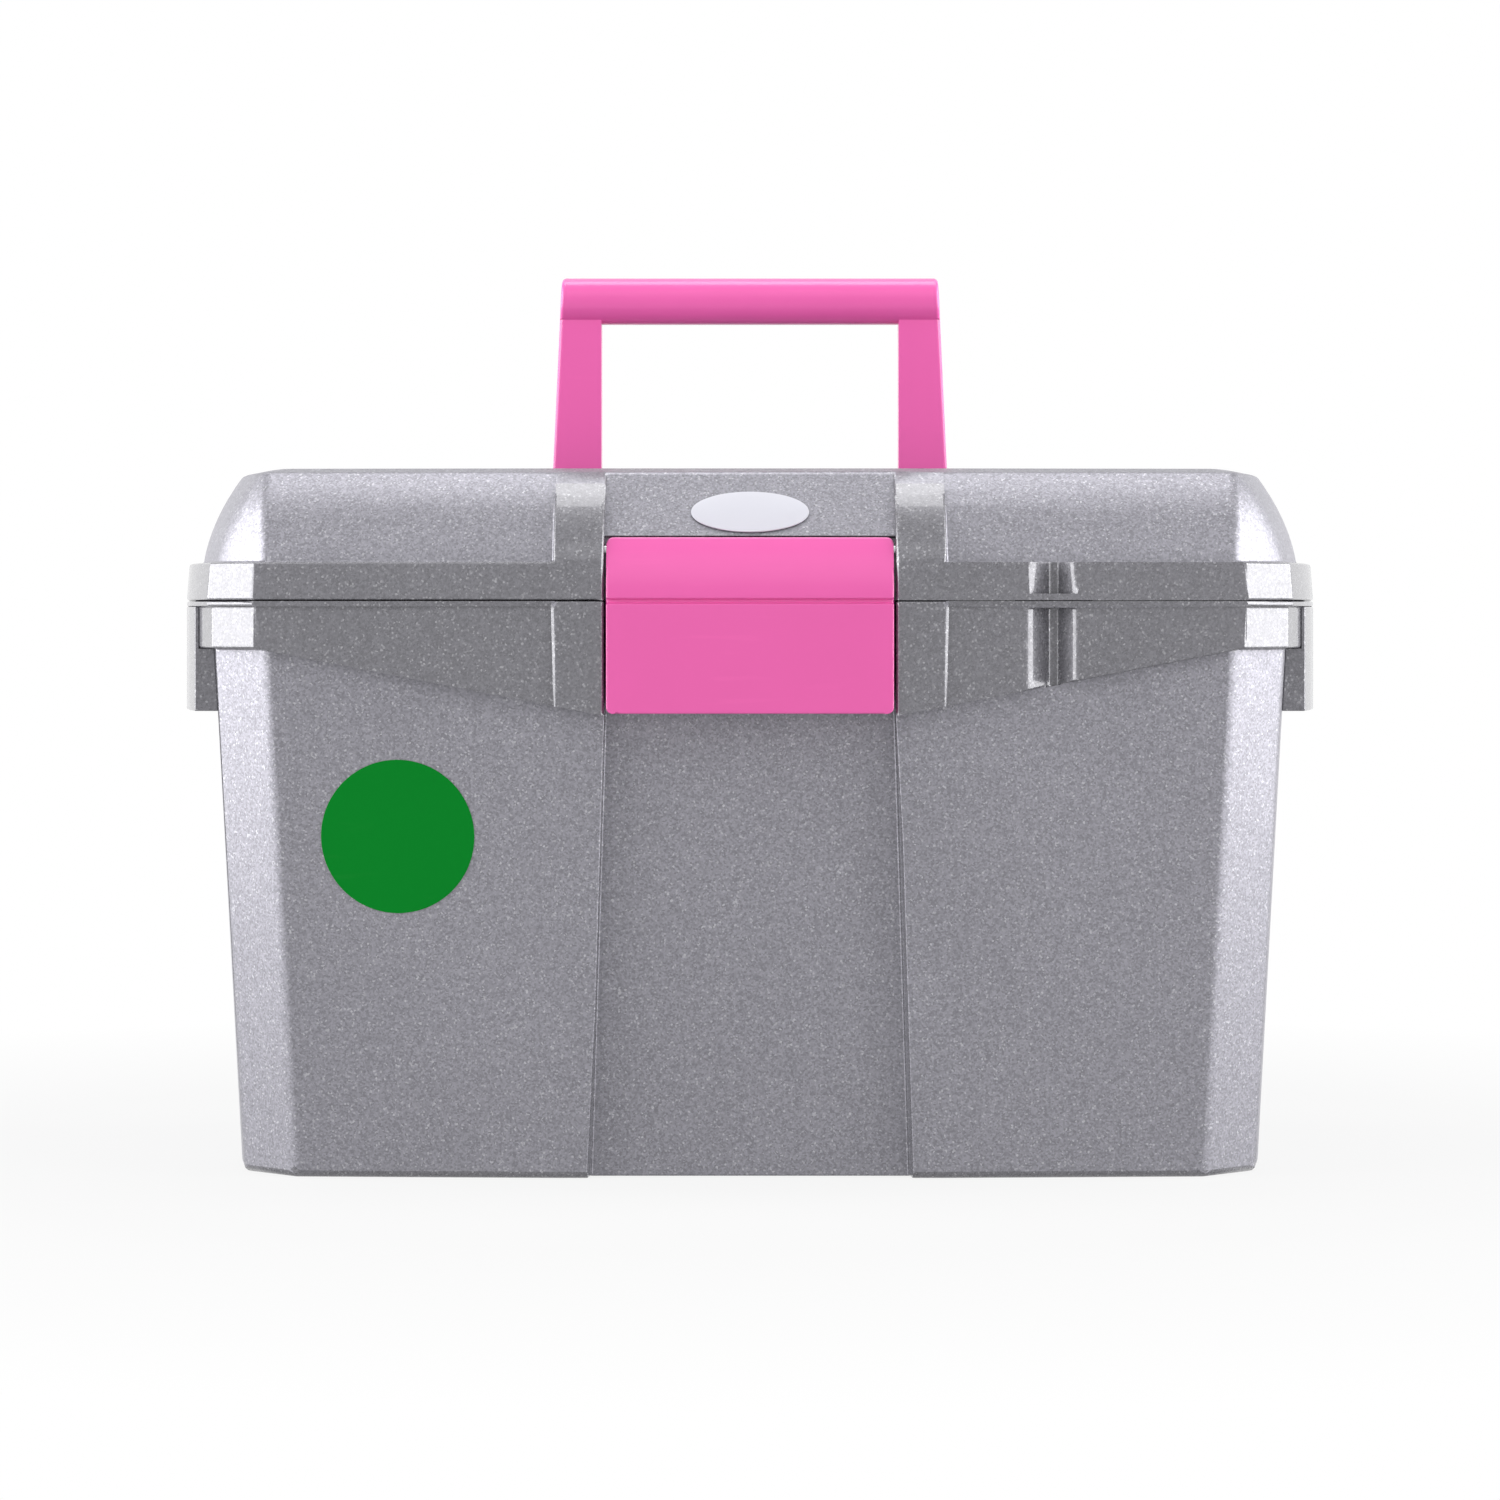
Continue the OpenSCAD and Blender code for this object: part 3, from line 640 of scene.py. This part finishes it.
@dataclass
class Piece:
    """One sub-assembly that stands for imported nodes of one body."""

    name: str
    body: Body
    slot: Slot
    nodes: tuple[str, ...]

    def model(self, frame: Frame) -> bpy.types.Object:
        """Builds the piece's mesh and returns its object."""
        raise NotImplementedError

    def build(self, frame: Frame, finishes: Finishes) -> bpy.types.Object:
        """Models, dresses and places the piece.

        Args:
            frame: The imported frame.
            finishes: The finishes to dress it in.

        Returns:
            The placed piece.
        """
        piece = self.model(frame)
        dress(piece, finishes.for_slot(self.slot))
        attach(piece, self.body.value)
        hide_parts(*self.nodes)
        log.info("%s: %d faces", piece.name, len(piece.data.polygons))
        return piece


@dataclass
class Moulding(Piece):
    """A moulded piece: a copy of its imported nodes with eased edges."""

    work: EdgeWork = EdgeWork(0.7 * MM)
    eye_x: float = 102.3 * MM
    eye_front: float = -114.0 * MM
    mouth_span: tuple[float, float] = (6.5 * MM, 9.5 * MM)
    mouth_reach: float = 2.2 * MM
    mouth_steps: int = 4
    mouth_flat_deg: float = 0.8
    mouth_level: float = 0.0
    mouth_climb: float = 0.9
    rib_edges: tuple[tuple[float, float], ...] = ()
    rib_front: float = -104.0 * MM
    rib_climb: float = 0.5
    rib_facing: float = 0.6
    whole_faces: bool = False

    def model(self, frame: Frame) -> bpy.types.Object:
        """Copies the nodes and eases their edges."""
        shape = bmesh.new()
        for name in self.nodes:
            shape.from_mesh(frame["nodes"][name].data)
        self._clean(shape)
        self.round_over(shape)
        if not self.whole_faces:
            to_triangles(shape)
        self._mark(shape)
        self._ease(shape)
        return finished_object(self.name, shape)

    def round_over(self, shape: Shape) -> None:
        """Gives the copy its larger roundings, where the piece has any."""

    def round_mouth(self, shape: Shape) -> None:
        """Rounds the upright edges of the padlock notch's mouth, where the front is one face."""
        front = [corner for corner in shape.verts if corner.co.x > 0 and corner.co.y < self.eye_front]
        edges = [edge for edge in shape.edges if set(front).issuperset(edge.verts)]
        self._join_flat(shape, self.mouth_flat_deg, front, edges)
        faces = [face for face in shape.faces if all(corner.co.y < self.eye_front for corner in face.verts)]
        whole = {part for face in faces for part in (face, *face.edges, *face.verts)}
        self._divide(shape, list(whole), (0.0, 0.0, self.mouth_level), (0.0, 0.0, 1.0))
        shape.normal_update()
        mouth = [edge for edge in shape.edges if self._is_mouth(edge)]
        round_edges(shape, mouth, self.mouth_reach, self.mouth_steps)

    def _is_mouth(self, edge: Edge) -> bool:
        """Tells whether an edge stands between the front and a flank of the notch."""
        middle = middle_of(edge)
        least, most = self.mouth_span
        near = least < abs(middle.x - self.eye_x) < most and middle.y < self.eye_front
        upright = climbs(edge, self.mouth_climb)
        return near and upright and edge.calc_face_angle() > math.radians(self.work.sharp_deg)

    def round_ribs(self, shape: Shape) -> None:
        """Rounds the upright edges of the ribs or cheeks beside the latch."""
        for place, reach in self.rib_edges:
            shape.normal_update()
            edges = [edge for edge in shape.edges if self._is_rib(edge, place)]
            round_edges(shape, edges, reach, self.mouth_steps)

    def _is_rib(self, edge: Edge, place: float) -> bool:
        """Tells whether an edge climbs the front of a rib, at a distance from the middle."""
        level = all(abs(abs(corner.co.x) - place) < self.work.merge for corner in edge.verts)
        ahead = all(corner.co.y < self.rib_front for corner in edge.verts)
        facing = any(face.normal.y < -self.rib_facing for face in edge.link_faces)
        return level and ahead and facing and climbs(edge, self.rib_climb)

    def grained(self, place: Vector, normal: Vector) -> bool:
        """Tells whether the mould is textured at a face.

        Args:
            place: The face's middle.
            normal: The face's outward direction.

        Returns:
            True where the face is grained, and False where it is polished.
        """
        return False

    def _clean(self, shape: Shape) -> None:
        """Merges the loose triangles and joins those that lie in one plane."""
        work = self.work
        bmesh.ops.remove_doubles(shape, verts=shape.verts, dist=work.merge)
        bmesh.ops.dissolve_degenerate(shape, edges=shape.edges, dist=work.merge)
        self._join_flat(shape, work.flat_deg, shape.verts, shape.edges)

    @staticmethod
    def _join_flat(shape: Shape, most_deg: float, corners: Any, edges: Any) -> None:
        """Joins the faces between the given edges that meet at no more than an angle."""
        bmesh.ops.dissolve_limit(
            shape,
            angle_limit=math.radians(most_deg),
            verts=corners,
            edges=edges,
            use_dissolve_boundaries=False,
        )

    def _divide(self, shape: Shape, parts: list[Any], place: Place, across: Place) -> None:
        """Cuts the given parts along a plane, and leaves both sides joined."""
        merge = self.work.merge
        bmesh.ops.bisect_plane(shape, geom=parts, dist=merge, plane_co=place, plane_no=across)

    def _mark(self, shape: Shape) -> None:
        """Marks the grained faces; the roundings take their mark from the faces beside them."""
        shape.normal_update()
        layer = shape.faces.layers.float.new(GRAINED)
        for face in shape.faces:
            face[layer] = float(self.grained(face.calc_center_median(), face.normal))

    def crisp(self, place: Vector) -> bool:
        """Tells whether the edge with its middle at a place stays as it is."""
        return False

    def _ease(self, shape: Shape) -> None:
        """Rounds the sharp edges, apart from those whose rounding would turn a face over."""
        shape.normal_update()
        for parts in (shape.edges, shape.faces):
            parts.index_update()
            parts.ensure_lookup_table()
        source = shape.faces.layers.int.new(SOURCE)
        for face in shape.faces:
            face[source] = face.index
        sharp = {
            edge.index
            for edge in shape.edges
            if edge.is_manifold
            and edge.calc_face_angle() > math.radians(self.work.sharp_deg)
            and not self.crisp(middle_of(edge))
        }
        tree = BVHTree.FromBMesh(shape)
        for _ in range(self.work.tries):
            spoilt = self._spoilt(shape, tree, sharp)
            if not spoilt:
                break
            sharp -= spoilt
        shape.edges.ensure_lookup_table()
        edges = [shape.edges[number] for number in sorted(sharp)]
        round_edges(shape, edges, self.work.radius, self.work.steps)
        bmesh.ops.dissolve_degenerate(shape, dist=self.work.merge, edges=shape.edges)
        shape.faces.layers.int.remove(shape.faces.layers.int[SOURCE])

    def _spoilt(self, shape: Shape, tree: BVHTree, sharp: set[int]) -> set[int]:
        """Finds the edges whose rounding turns a face over.

        Args:
            shape: The mesh before its edges are rounded, each face with its number as source.
            tree: The same mesh's faces, to look up by place.
            sharp: The numbers of the edges to round.

        Returns:
            The numbers of the edges to leave out.
        """
        trial = shape.copy()
        trial.edges.ensure_lookup_table()
        edges = [trial.edges[number] for number in sorted(sharp)]
        round_edges(trial, edges, self.work.radius, self.work.steps)
        to_triangles(trial)
        trial.normal_update()
        source = trial.faces.layers.int[SOURCE]
        turned = {
            face[source]: face.calc_center_median()
            for face in trial.faces
            if face.normal.dot(shape.faces[face[source]].normal) < self.work.doubt
            and face.calc_area() > self.work.speck
            and self._is_turned(face, tree)
        }
        trial.free()
        spoilt: set[int] = set()
        for number, place in turned.items():
            face = shape.faces[number]
            own = sharp.intersection(edge.index for edge in face.edges)
            linked = sharp.intersection(edge.index for corner in face.verts for edge in corner.link_edges)
            spoilt |= own or linked or self._beside(shape, sharp, place)
        return spoilt

    def _is_turned(self, face: Face, tree: BVHTree) -> bool:
        """Tells whether a face looks away from all that was near it."""
        near = tree.find_nearest_range(face.calc_center_median(), self.work.near * self.work.radius)
        return all(normal.dot(face.normal) < self.work.turned for _, normal, _, _ in near)

    def _beside(self, shape: Shape, sharp: set[int], place: Vector) -> set[int]:
        """Finds the numbered edges that pass close to a place."""
        near: set[int] = set()
        for number in sharp:
            first, second = (corner.co for corner in shape.edges[number].verts)
            foot, share = intersect_point_line(place, first, second)
            foot = first if share < 0 else second if share > 1 else foot
            if (foot - place).length < self.work.beside * self.work.radius:
                near.add(number)
        return near


@dataclass
class TubShell(Moulding):
    """The tub: grained on its drafted outside walls, polished on its rim, skirt and inside."""

    name: str = "tub"
    body: Body = Body.BASE
    slot: Slot = Slot.SILVER
    nodes: tuple[str, ...] = ("base_tub",)
    mouth_level: float = 193.3 * MM
    rib_edges: tuple[tuple[float, float], ...] = ((66.0 * MM, 1.2 * MM), (49.0 * MM, 1.6 * MM))
    rib_front: float = -118.0 * MM
    draft_least: float = 0.015
    draft_most: float = 0.3
    recess_side: float = 0.5
    recess_reach: float = 75.0 * MM
    band_low: float = 179.5 * MM
    band_snap: float = 0.35 * MM
    band_merge: float = 1.5 * MM
    band_front: float = 100.0 * MM
    crease_reach: float = 2.5 * MM
    crease_steps: int = 4
    crease_deg: float = 20.0
    crease_climb: float = 0.8

    def round_over(self, shape: Shape) -> None:
        """Joins the skirt's ends to the band and rounds the walls' upright creases."""
        for corner in shape.verts:
            if 0 < self.band_low - corner.co.z < self.band_snap:
                corner.co.z = self.band_low
        ends = [
            corner
            for corner in shape.verts
            if abs(corner.co.z - self.band_low) < self.work.merge and abs(corner.co.y) > self.band_front
        ]
        bmesh.ops.remove_doubles(shape, verts=ends, dist=self.band_merge)
        self._clean(shape)
        shape.normal_update()
        creases = [edge for edge in shape.edges if self._is_crease(edge)]
        round_edges(shape, creases, self.crease_reach, self.crease_steps)
        self.round_ribs(shape)
        self.round_mouth(shape)

    def _is_crease(self, edge: Edge) -> bool:
        """Tells whether an edge climbs the outside between two grained walls."""
        if not climbs(edge, self.crease_climb):
            return False
        turns = edge.calc_face_angle() > math.radians(self.crease_deg)
        walls = [self.grained(face.calc_center_median(), face.normal) for face in edge.link_faces]
        return turns and all(walls)

    def grained(self, place: Vector, normal: Vector) -> bool:
        """Tells whether a face is one of the drafted outside walls."""
        outward = normal.x * place.x + normal.y * place.y > 0
        drafted = self.draft_least < -normal.z < self.draft_most
        recess_edge = abs(normal.x) > self.recess_side and abs(place.x) < self.recess_reach
        return outward and drafted and not recess_edge


@dataclass
class SideGrip(Moulding):
    """A polished finger grip at one end of the tub."""

    name: str = "grip"
    body: Body = Body.BASE
    slot: Slot = Slot.SILVER
    nodes: tuple[str, ...] = ()
    work: EdgeWork = EdgeWork(0.5 * MM)


@dataclass
class LidShell(Moulding):
    """The lid: grained on its dome and centre panel, polished on its rim, ribs and pocket."""

    name: str = "lid"
    body: Body = Body.LID
    slot: Slot = Slot.SILVER
    nodes: tuple[str, ...] = ("lid_shell",)
    mouth_level: float = 198.0 * MM
    rib_edges: tuple[tuple[float, float], ...] = ((49.0 * MM, 1.6 * MM),)
    work: EdgeWork = EdgeWork(0.85 * MM)
    dome_rise: float = 32.4 * MM
    corner_percent: float = 38.0
    front_reach: float = 1.8 * MM
    join_deg: float = 8.0
    corner_steps: int = 5
    crease_deg: float = 12.0
    foot_slack: float = 0.1 * MM
    climb_least: float = 0.2 * MM
    end_share: float = 0.86
    front_share: float = 0.3
    rib_wide: float = 18.0 * MM
    pocket_gap: float = 3.0 * MM
    grain_gap: float = 0.3 * MM
    overhang: float = 0.01
    wall_rise: float = 0.1
    floor_rise: float = 0.95
    head_half: float = 5.0 * MM
    head_back: float = -105.0 * MM
    head_band: float = 1.0 * MM

    def __post_init__(self) -> None:
        """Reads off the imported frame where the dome, the ribs and the pocket lie."""
        self.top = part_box("lid_shell")[1][2]
        self.foot = self.top - self.dome_rise
        self.rib_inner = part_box("front_latch")[1][0]
        self.rib_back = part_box("oval_badge")[1][1]
        handle_low, handle_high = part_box("carry_handle")
        self.pocket_half = handle_high[0] + self.pocket_gap
        self.pocket_front = handle_low[1] - self.pocket_gap
        self.pocket_back = handle_high[1] + handle_high[2] - handle_low[2]

    def round_over(self, shape: Shape) -> None:
        """Rounds the dome's corner facets over into its ends, and less into its front and back."""
        shape.normal_update()
        ends = [face for face in shape.faces if len(face.verts) == 3 and self._is_end(face)]
        bmesh.ops.join_triangles(
            shape,
            faces=ends,
            angle_face_threshold=math.radians(self.join_deg),
            angle_shape_threshold=math.pi,
        )
        self._round_corners(shape, self.end_share, self.corner_percent, "PERCENT")
        self._round_corners(shape, self.front_share, self.front_reach, "OFFSET")
        self.round_ribs(shape)
        self.round_mouth(shape)

    def _is_end(self, face: Face) -> bool:
        """Tells whether a face is on one of the dome's ends."""
        place = face.calc_center_median()
        return place.z > self.foot and face.normal.z > 0 and face.normal.x * place.x > 0

    def _round_corners(
        self, shape: Shape, limit: float, reach: float, measure: Literal["OFFSET", "PERCENT"]
    ) -> None:
        """Rounds the edges that climb the dome beside its corner facets."""
        shape.normal_update()
        corners = [edge for edge in shape.edges if self._is_corner(edge, limit)]
        round_edges(shape, corners, reach, self.corner_steps, measure)

    def _is_corner(self, edge: Edge, limit: float) -> bool:
        """Tells whether an edge climbs the dome beside a corner facet.

        Args:
            edge: The edge.
            limit: The sideways share of a normal that has to lie between the two faces' own shares.

        Returns:
            True for such an edge.
        """
        if not edge.is_manifold or edge.calc_face_angle() < math.radians(self.crease_deg):
            return False
        first, second = (corner.co for corner in edge.verts)
        on_dome = min(first.z, second.z) > self.foot - self.foot_slack
        rises = abs(first.z - second.z) > self.climb_least
        outside = all(face.normal.x * first.x > 0 and face.normal.z > 0 for face in edge.link_faces)
        if not (on_dome and rises and outside):
            return False
        turns = [abs(face.normal.x) / math.hypot(face.normal.x, face.normal.y) for face in edge.link_faces]
        return max(turns) > limit > min(turns)

    def crisp(self, place: Vector) -> bool:
        """Tells whether a place is at the head of the padlock notch, where the ledge is thin."""
        near = abs(place.x - self.eye_x) < self.head_half and place.y < self.head_back
        return near and abs(place.z - self.foot) < self.head_band

    def grained(self, place: Vector, normal: Vector) -> bool:
        """Tells whether a face is on the dome or the centre panel."""
        on_dome = place.z > self.foot + self.grain_gap and normal.z > -self.overhang
        on_rib = self.rib_inner < abs(place.x) < self.rib_inner + self.rib_wide and place.y < self.rib_back
        beside = abs(place.x) < self.pocket_half and self.pocket_front < place.y < self.pocket_back
        sloping = self.wall_rise < normal.z < self.floor_rise
        in_pocket = beside and not sloping and place.z < self.top - self.pocket_gap
        return on_dome and not on_rib and not in_pocket


@dataclass
class CarryHandle(Moulding):
    """The grip and its two arms."""

    name: str = "handle"
    body: Body = Body.HANDLE
    slot: Slot = Slot.PINK
    nodes: tuple[str, ...] = ("carry_handle",)
    work: EdgeWork = EdgeWork(1.5 * MM, steps=4)
    whole_faces: bool = True


@dataclass
class FrontLatch(Moulding):
    """The wide latch."""

    name: str = "latch"
    body: Body = Body.LATCH
    slot: Slot = Slot.PINK
    nodes: tuple[str, ...] = ("front_latch",)
    work: EdgeWork = EdgeWork(0.6 * MM, steps=3)
    end_reach: float = 3.4 * MM

    def round_over(self, shape: Shape) -> None:
        """Divides the plate beside its rounded ends, so that their shading stays there."""
        inner = max(corner.co.x for corner in shape.verts) - self.end_reach
        for place in (-inner, inner):
            whole = shape.verts[:] + shape.edges[:] + shape.faces[:]
            self._divide(shape, whole, (place, 0.0, 0.0), (1.0, 0.0, 0.0))


@dataclass
class InsertTray(Moulding):
    """The lift-out tray."""

    name: str = "tray"
    body: Body = Body.TRAY
    slot: Slot = Slot.TRAY
    nodes: tuple[str, ...] = ("insert_tray",)
    work: EdgeWork = EdgeWork(0.4 * MM)


@dataclass
class TrayDividers(Moulding):
    """The tray's loose dividers."""

    name: str = "dividers"
    body: Body = Body.TRAY
    slot: Slot = Slot.TRAY
    nodes: tuple[str, ...] = ("tray_dividers",)
    work: EdgeWork = EdgeWork(0.4 * MM)


@dataclass
class Plaque(Piece):
    """A thin plate on a panel, with a crowned face and a rounded edge."""

    edge: float = 0.3 * MM
    crown: float = 0.3 * MM
    foot_inset: float = 0.0
    foot_rise: float = 0.0
    sides: int = 96
    smooth_deg: float = 40.0
    edge_turns: tuple[float, ...] = (30.0, 60.0, 90.0)
    crown_shares: tuple[float, ...] = (0.2, 0.45, 0.7, 0.9)

    def model(self, frame: Frame) -> bpy.types.Object:
        """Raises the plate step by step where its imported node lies."""
        seat, half_width, half_height, thickness = self._seat(frame["nodes"][self.nodes[0]].data)
        shape = bmesh.new()
        bmesh.ops.create_circle(shape, cap_ends=True, segments=self.sides, radius=1.0)
        bmesh.ops.scale(
            shape, vec=(half_width - self.foot_inset, half_height - self.foot_inset, 1.0), verts=shape.verts
        )
        face = next(iter(shape.faces))
        wall = thickness - self.crown
        steps = [(self.foot_inset, self.foot_rise), (0.0, self.foot_rise)] if self.foot_rise else []
        steps.append((0.0, wall - self.edge))
        for turn in map(math.radians, self.edge_turns):
            steps.append((self.edge * (1 - math.cos(turn)), wall - self.edge * (1 - math.sin(turn))))
        for share in self.crown_shares:
            inset = self.edge + (half_height - self.edge) * share
            steps.append((inset, wall + self.crown * (1 - (1 - share) ** 2)))
        done = (self.foot_inset, 0.0)
        for inset, height in steps:
            face = self._step(shape, face, inset - done[0], height - done[1])
            done = (inset, height)
        back = [edge for edge in shape.edges if edge.is_boundary]
        bmesh.ops.holes_fill(shape, edges=back, sides=0)
        bmesh.ops.recalc_face_normals(shape, faces=shape.faces)
        bmesh.ops.transform(shape, matrix=seat, verts=shape.verts)
        return finished_object(self.name, shape, self.smooth_deg)

    @staticmethod
    def _step(shape: Shape, face: Face, inset: float, rise: float) -> Face:
        """Raises the top face and draws its rim in.

        Args:
            shape: The plate.
            face: Its top face.
            inset: How far the rim moves in.
            rise: How far the face moves up.

        Returns:
            The new top face.
        """
        grown = bmesh.ops.extrude_discrete_faces(shape, faces=[face])["faces"][0]
        wide = max(abs(corner.co.x) for corner in grown.verts)
        high = max(abs(corner.co.y) for corner in grown.verts)
        bmesh.ops.scale(shape, vec=(1 - inset / wide, 1 - inset / high, 1.0), verts=grown.verts)
        bmesh.ops.translate(shape, vec=(0.0, 0.0, rise), verts=grown.verts)
        return grown

    @staticmethod
    def _seat(mesh: bpy.types.Mesh) -> tuple[Matrix, float, float, float]:
        """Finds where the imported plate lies.

        Args:
            mesh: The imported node's mesh.

        Returns:
            The seat's matrix, the plate's half width and half height, and its thickness.
        """
        areas: dict[tuple[float, ...], float] = {}
        for polygon in mesh.polygons:
            key = tuple(round(value, 3) for value in polygon.normal)
            areas[key] = areas.get(key, 0.0) + polygon.area
        out = Vector(max((key for key in areas if key[1] < 0), key=areas.get)).normalized()
        across = Vector((0.0, 0.0, 1.0)).cross(out).normalized()
        up = out.cross(across)
        points = [vertex.co for vertex in mesh.vertices]
        along = [[point.dot(axis) for point in points] for axis in (across, up, out)]
        spans = [(min(values), max(values)) for values in along]
        middle = across * sum(spans[0]) / 2 + up * sum(spans[1]) / 2 + out * spans[2][0]
        turn = Matrix((across, up, out)).transposed().to_4x4()
        halves = [(high - low) / 2 for low, high in spans]
        return Matrix.Translation(middle) @ turn, halves[0], halves[1], halves[2] * 2


@dataclass
class OvalBadge(Plaque):
    """The blank white oval above the latch."""

    name: str = "badge"
    body: Body = Body.LID
    slot: Slot = Slot.WHITE
    nodes: tuple[str, ...] = ("oval_badge",)
    edge: float = 0.25 * MM
    foot_inset: float = 0.9 * MM
    foot_rise: float = 0.3 * MM


@dataclass
class RoundLabel(Plaque):
    """The blank green label on the front."""

    name: str = "label"
    body: Body = Body.BASE
    slot: Slot = Slot.GREEN
    nodes: tuple[str, ...] = ("round_label",)
    edge: float = 0.12 * MM
    crown: float = 0.05 * MM


@dataclass
class Pins:
    """The steel pins, shown as they are packed."""

    mark: str = "_pin_"

    def dress(self, frame: Frame, finishes: Finishes) -> None:
        """Gives each packed pin its steel.

        Args:
            frame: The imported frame.
            finishes: The finishes to dress them in.
        """
        for name, node in frame["nodes"].items():
            if self.mark in name:
                dress(node, finishes.for_slot(Slot.STEEL))
                log.info("%s: packed mesh", name)


@dataclass(frozen=True)
class Softbox:
    """A rectangular lamp that faces a point, in metres and watts."""

    name: str
    place: Place
    target: Place
    size: tuple[float, float]
    power: float

    def hang(self) -> None:
        """Hangs the lamp."""
        lamp = bpy.data.lights.new(self.name, "AREA")
        lamp.shape = "RECTANGLE"
        lamp.size, lamp.size_y = self.size
        lamp.energy = self.power
        hung = placed(self.name, lamp)
        hung.location = self.place
        hung.rotation_euler = (Vector(self.target) - Vector(self.place)).to_track_quat("-Z", "Y").to_euler()


@dataclass
class Studio:
    """Floor, lamps, surroundings and the camera."""

    eye_row: float = 610.0
    front_scale: float = 0.3354 * MM
    distance: float = 1.7
    eye_height: float = 192.5 * MM
    sensor: float = 36.0
    sight: float = 50.0
    floor_size: float = 12.0
    shadow_reach: float = 0.6
    near_white: float = 0.86
    floor_grey: float = 0.45
    ambient: float = 0.32
    lamps: tuple[Softbox, ...] = (
        Softbox("Top softbox", (0.0, 0.25, 1.5), (0.0, 0.15, 0.15), (1.3, 0.55), 8.5),
        Softbox("Front softbox", (0.0, -1.6, 1.6), (0.0, 0.0, 0.2), (2.0, 1.2), 3.8),
        Softbox("Side softbox left", (-1.3, -0.3, 0.61), (0.0, -0.3, 0.61), (1.8, 1.2), 36.0),
        Softbox("Side softbox right", (1.3, -0.3, 0.61), (0.0, -0.3, 0.61), (1.8, 1.2), 36.0),
    )

    def build(self) -> None:
        """Sets up the whole studio."""
        bpy.context.scene.view_settings.view_transform = "Standard"
        self._surroundings()
        self._floor()
        for lamp in self.lamps:
            lamp.hang()
        self._camera()

    def _camera(self) -> None:
        """Puts the camera where the photograph was taken from."""
        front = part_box("base_tub")[0][1]
        lens = bpy.data.cameras.new("Camera")
        lens.sensor_width = self.sensor
        lens.lens = self.sensor * self.distance / (PHOTO_PIXELS * self.front_scale)
        lens.shift_y = (self.eye_row - PHOTO_PIXELS / 2) / PHOTO_PIXELS
        lens.clip_end = self.sight
        camera = placed("Camera", lens)
        camera.location = (0.0, front - self.distance, self.eye_height)
        camera.rotation_euler = (math.radians(90), 0.0, 0.0)
        bpy.context.scene.camera = camera

    @staticmethod
    def _seen(sheet: NodeSheet) -> Socket:
        """Returns 1 for rays that show a surface directly, in gloss or through glass."""
        path = sheet.add("ShaderNodeLightPath").outputs
        gloss = sheet.math("MAXIMUM", path["Is Glossy Ray"], path["Is Transmission Ray"])
        return sheet.math("MAXIMUM", path["Is Camera Ray"], gloss)

    def _surroundings(self) -> None:
        """Makes a white surround that lights the box with a soft grey."""
        world = bpy.data.worlds.new("Surround")
        world.use_nodes = True
        bpy.context.scene.world = world
        sheet = NodeSheet(world.node_tree)
        strength = sheet.spread(self._seen(sheet), 0.0, 1.0, self.ambient, 1.0)
        back = sheet.add("ShaderNodeBackground", {"Color": WHITE, "Strength": strength})
        sheet.add("ShaderNodeOutputWorld", {"Surface": back.outputs[0]})

    def _floor(self) -> None:
        """Lays a white floor that keeps the box's shadow close to it."""
        shape = bmesh.new()
        bmesh.ops.create_grid(shape, x_segments=1, y_segments=1, size=self.floor_size)
        mesh = bpy.data.meshes.new("Floor")
        shape.to_mesh(mesh)
        shape.free()
        floor = placed("Floor", mesh)
        paint = bpy.data.materials.new("Floor white")
        paint.use_nodes = True
        sheet = NodeSheet(paint.node_tree)
        grey = (self.floor_grey, self.floor_grey, self.floor_grey, 1.0)
        matt = sheet.add("ShaderNodeBsdfDiffuse", {"Color": grey})
        glow = sheet.add("ShaderNodeEmission", {"Color": WHITE, "Strength": 1.0})
        place = sheet.add("ShaderNodeTexCoord").outputs["Object"]
        reach = sheet.add("ShaderNodeVectorMath", {0: place}, operation="LENGTH").outputs["Value"]
        far = sheet.spread(reach, self.shadow_reach / 2, self.shadow_reach, self.near_white, 1.0)
        share = sheet.math("MULTIPLY", self._seen(sheet), far)
        mixed = sheet.add("ShaderNodeMixShader", {0: share, 1: matt.outputs[0], 2: glow.outputs[0]})
        sheet.add("ShaderNodeOutputMaterial", {"Surface": mixed.outputs[0]})
        dress(floor, paint)


def main() -> None:
    """Builds the dressed box and its studio."""
    logging.basicConfig(level=logging.INFO, format="%(message)s")
    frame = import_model()
    finishes = Finishes()
    grips = [SideGrip(f"grip_{side}", nodes=(f"side_grip_{side}",)) for side in ("left", "right")]
    shells = [TubShell(), *grips, LidShell(), InsertTray(), TrayDividers()]
    fittings = [CarryHandle(), FrontLatch(), OvalBadge(), RoundLabel()]
    for piece in shells + fittings:
        piece.build(frame, finishes)
    Pins().dress(frame, finishes)
    Studio().build()


if __name__ == "__main__":
    main()
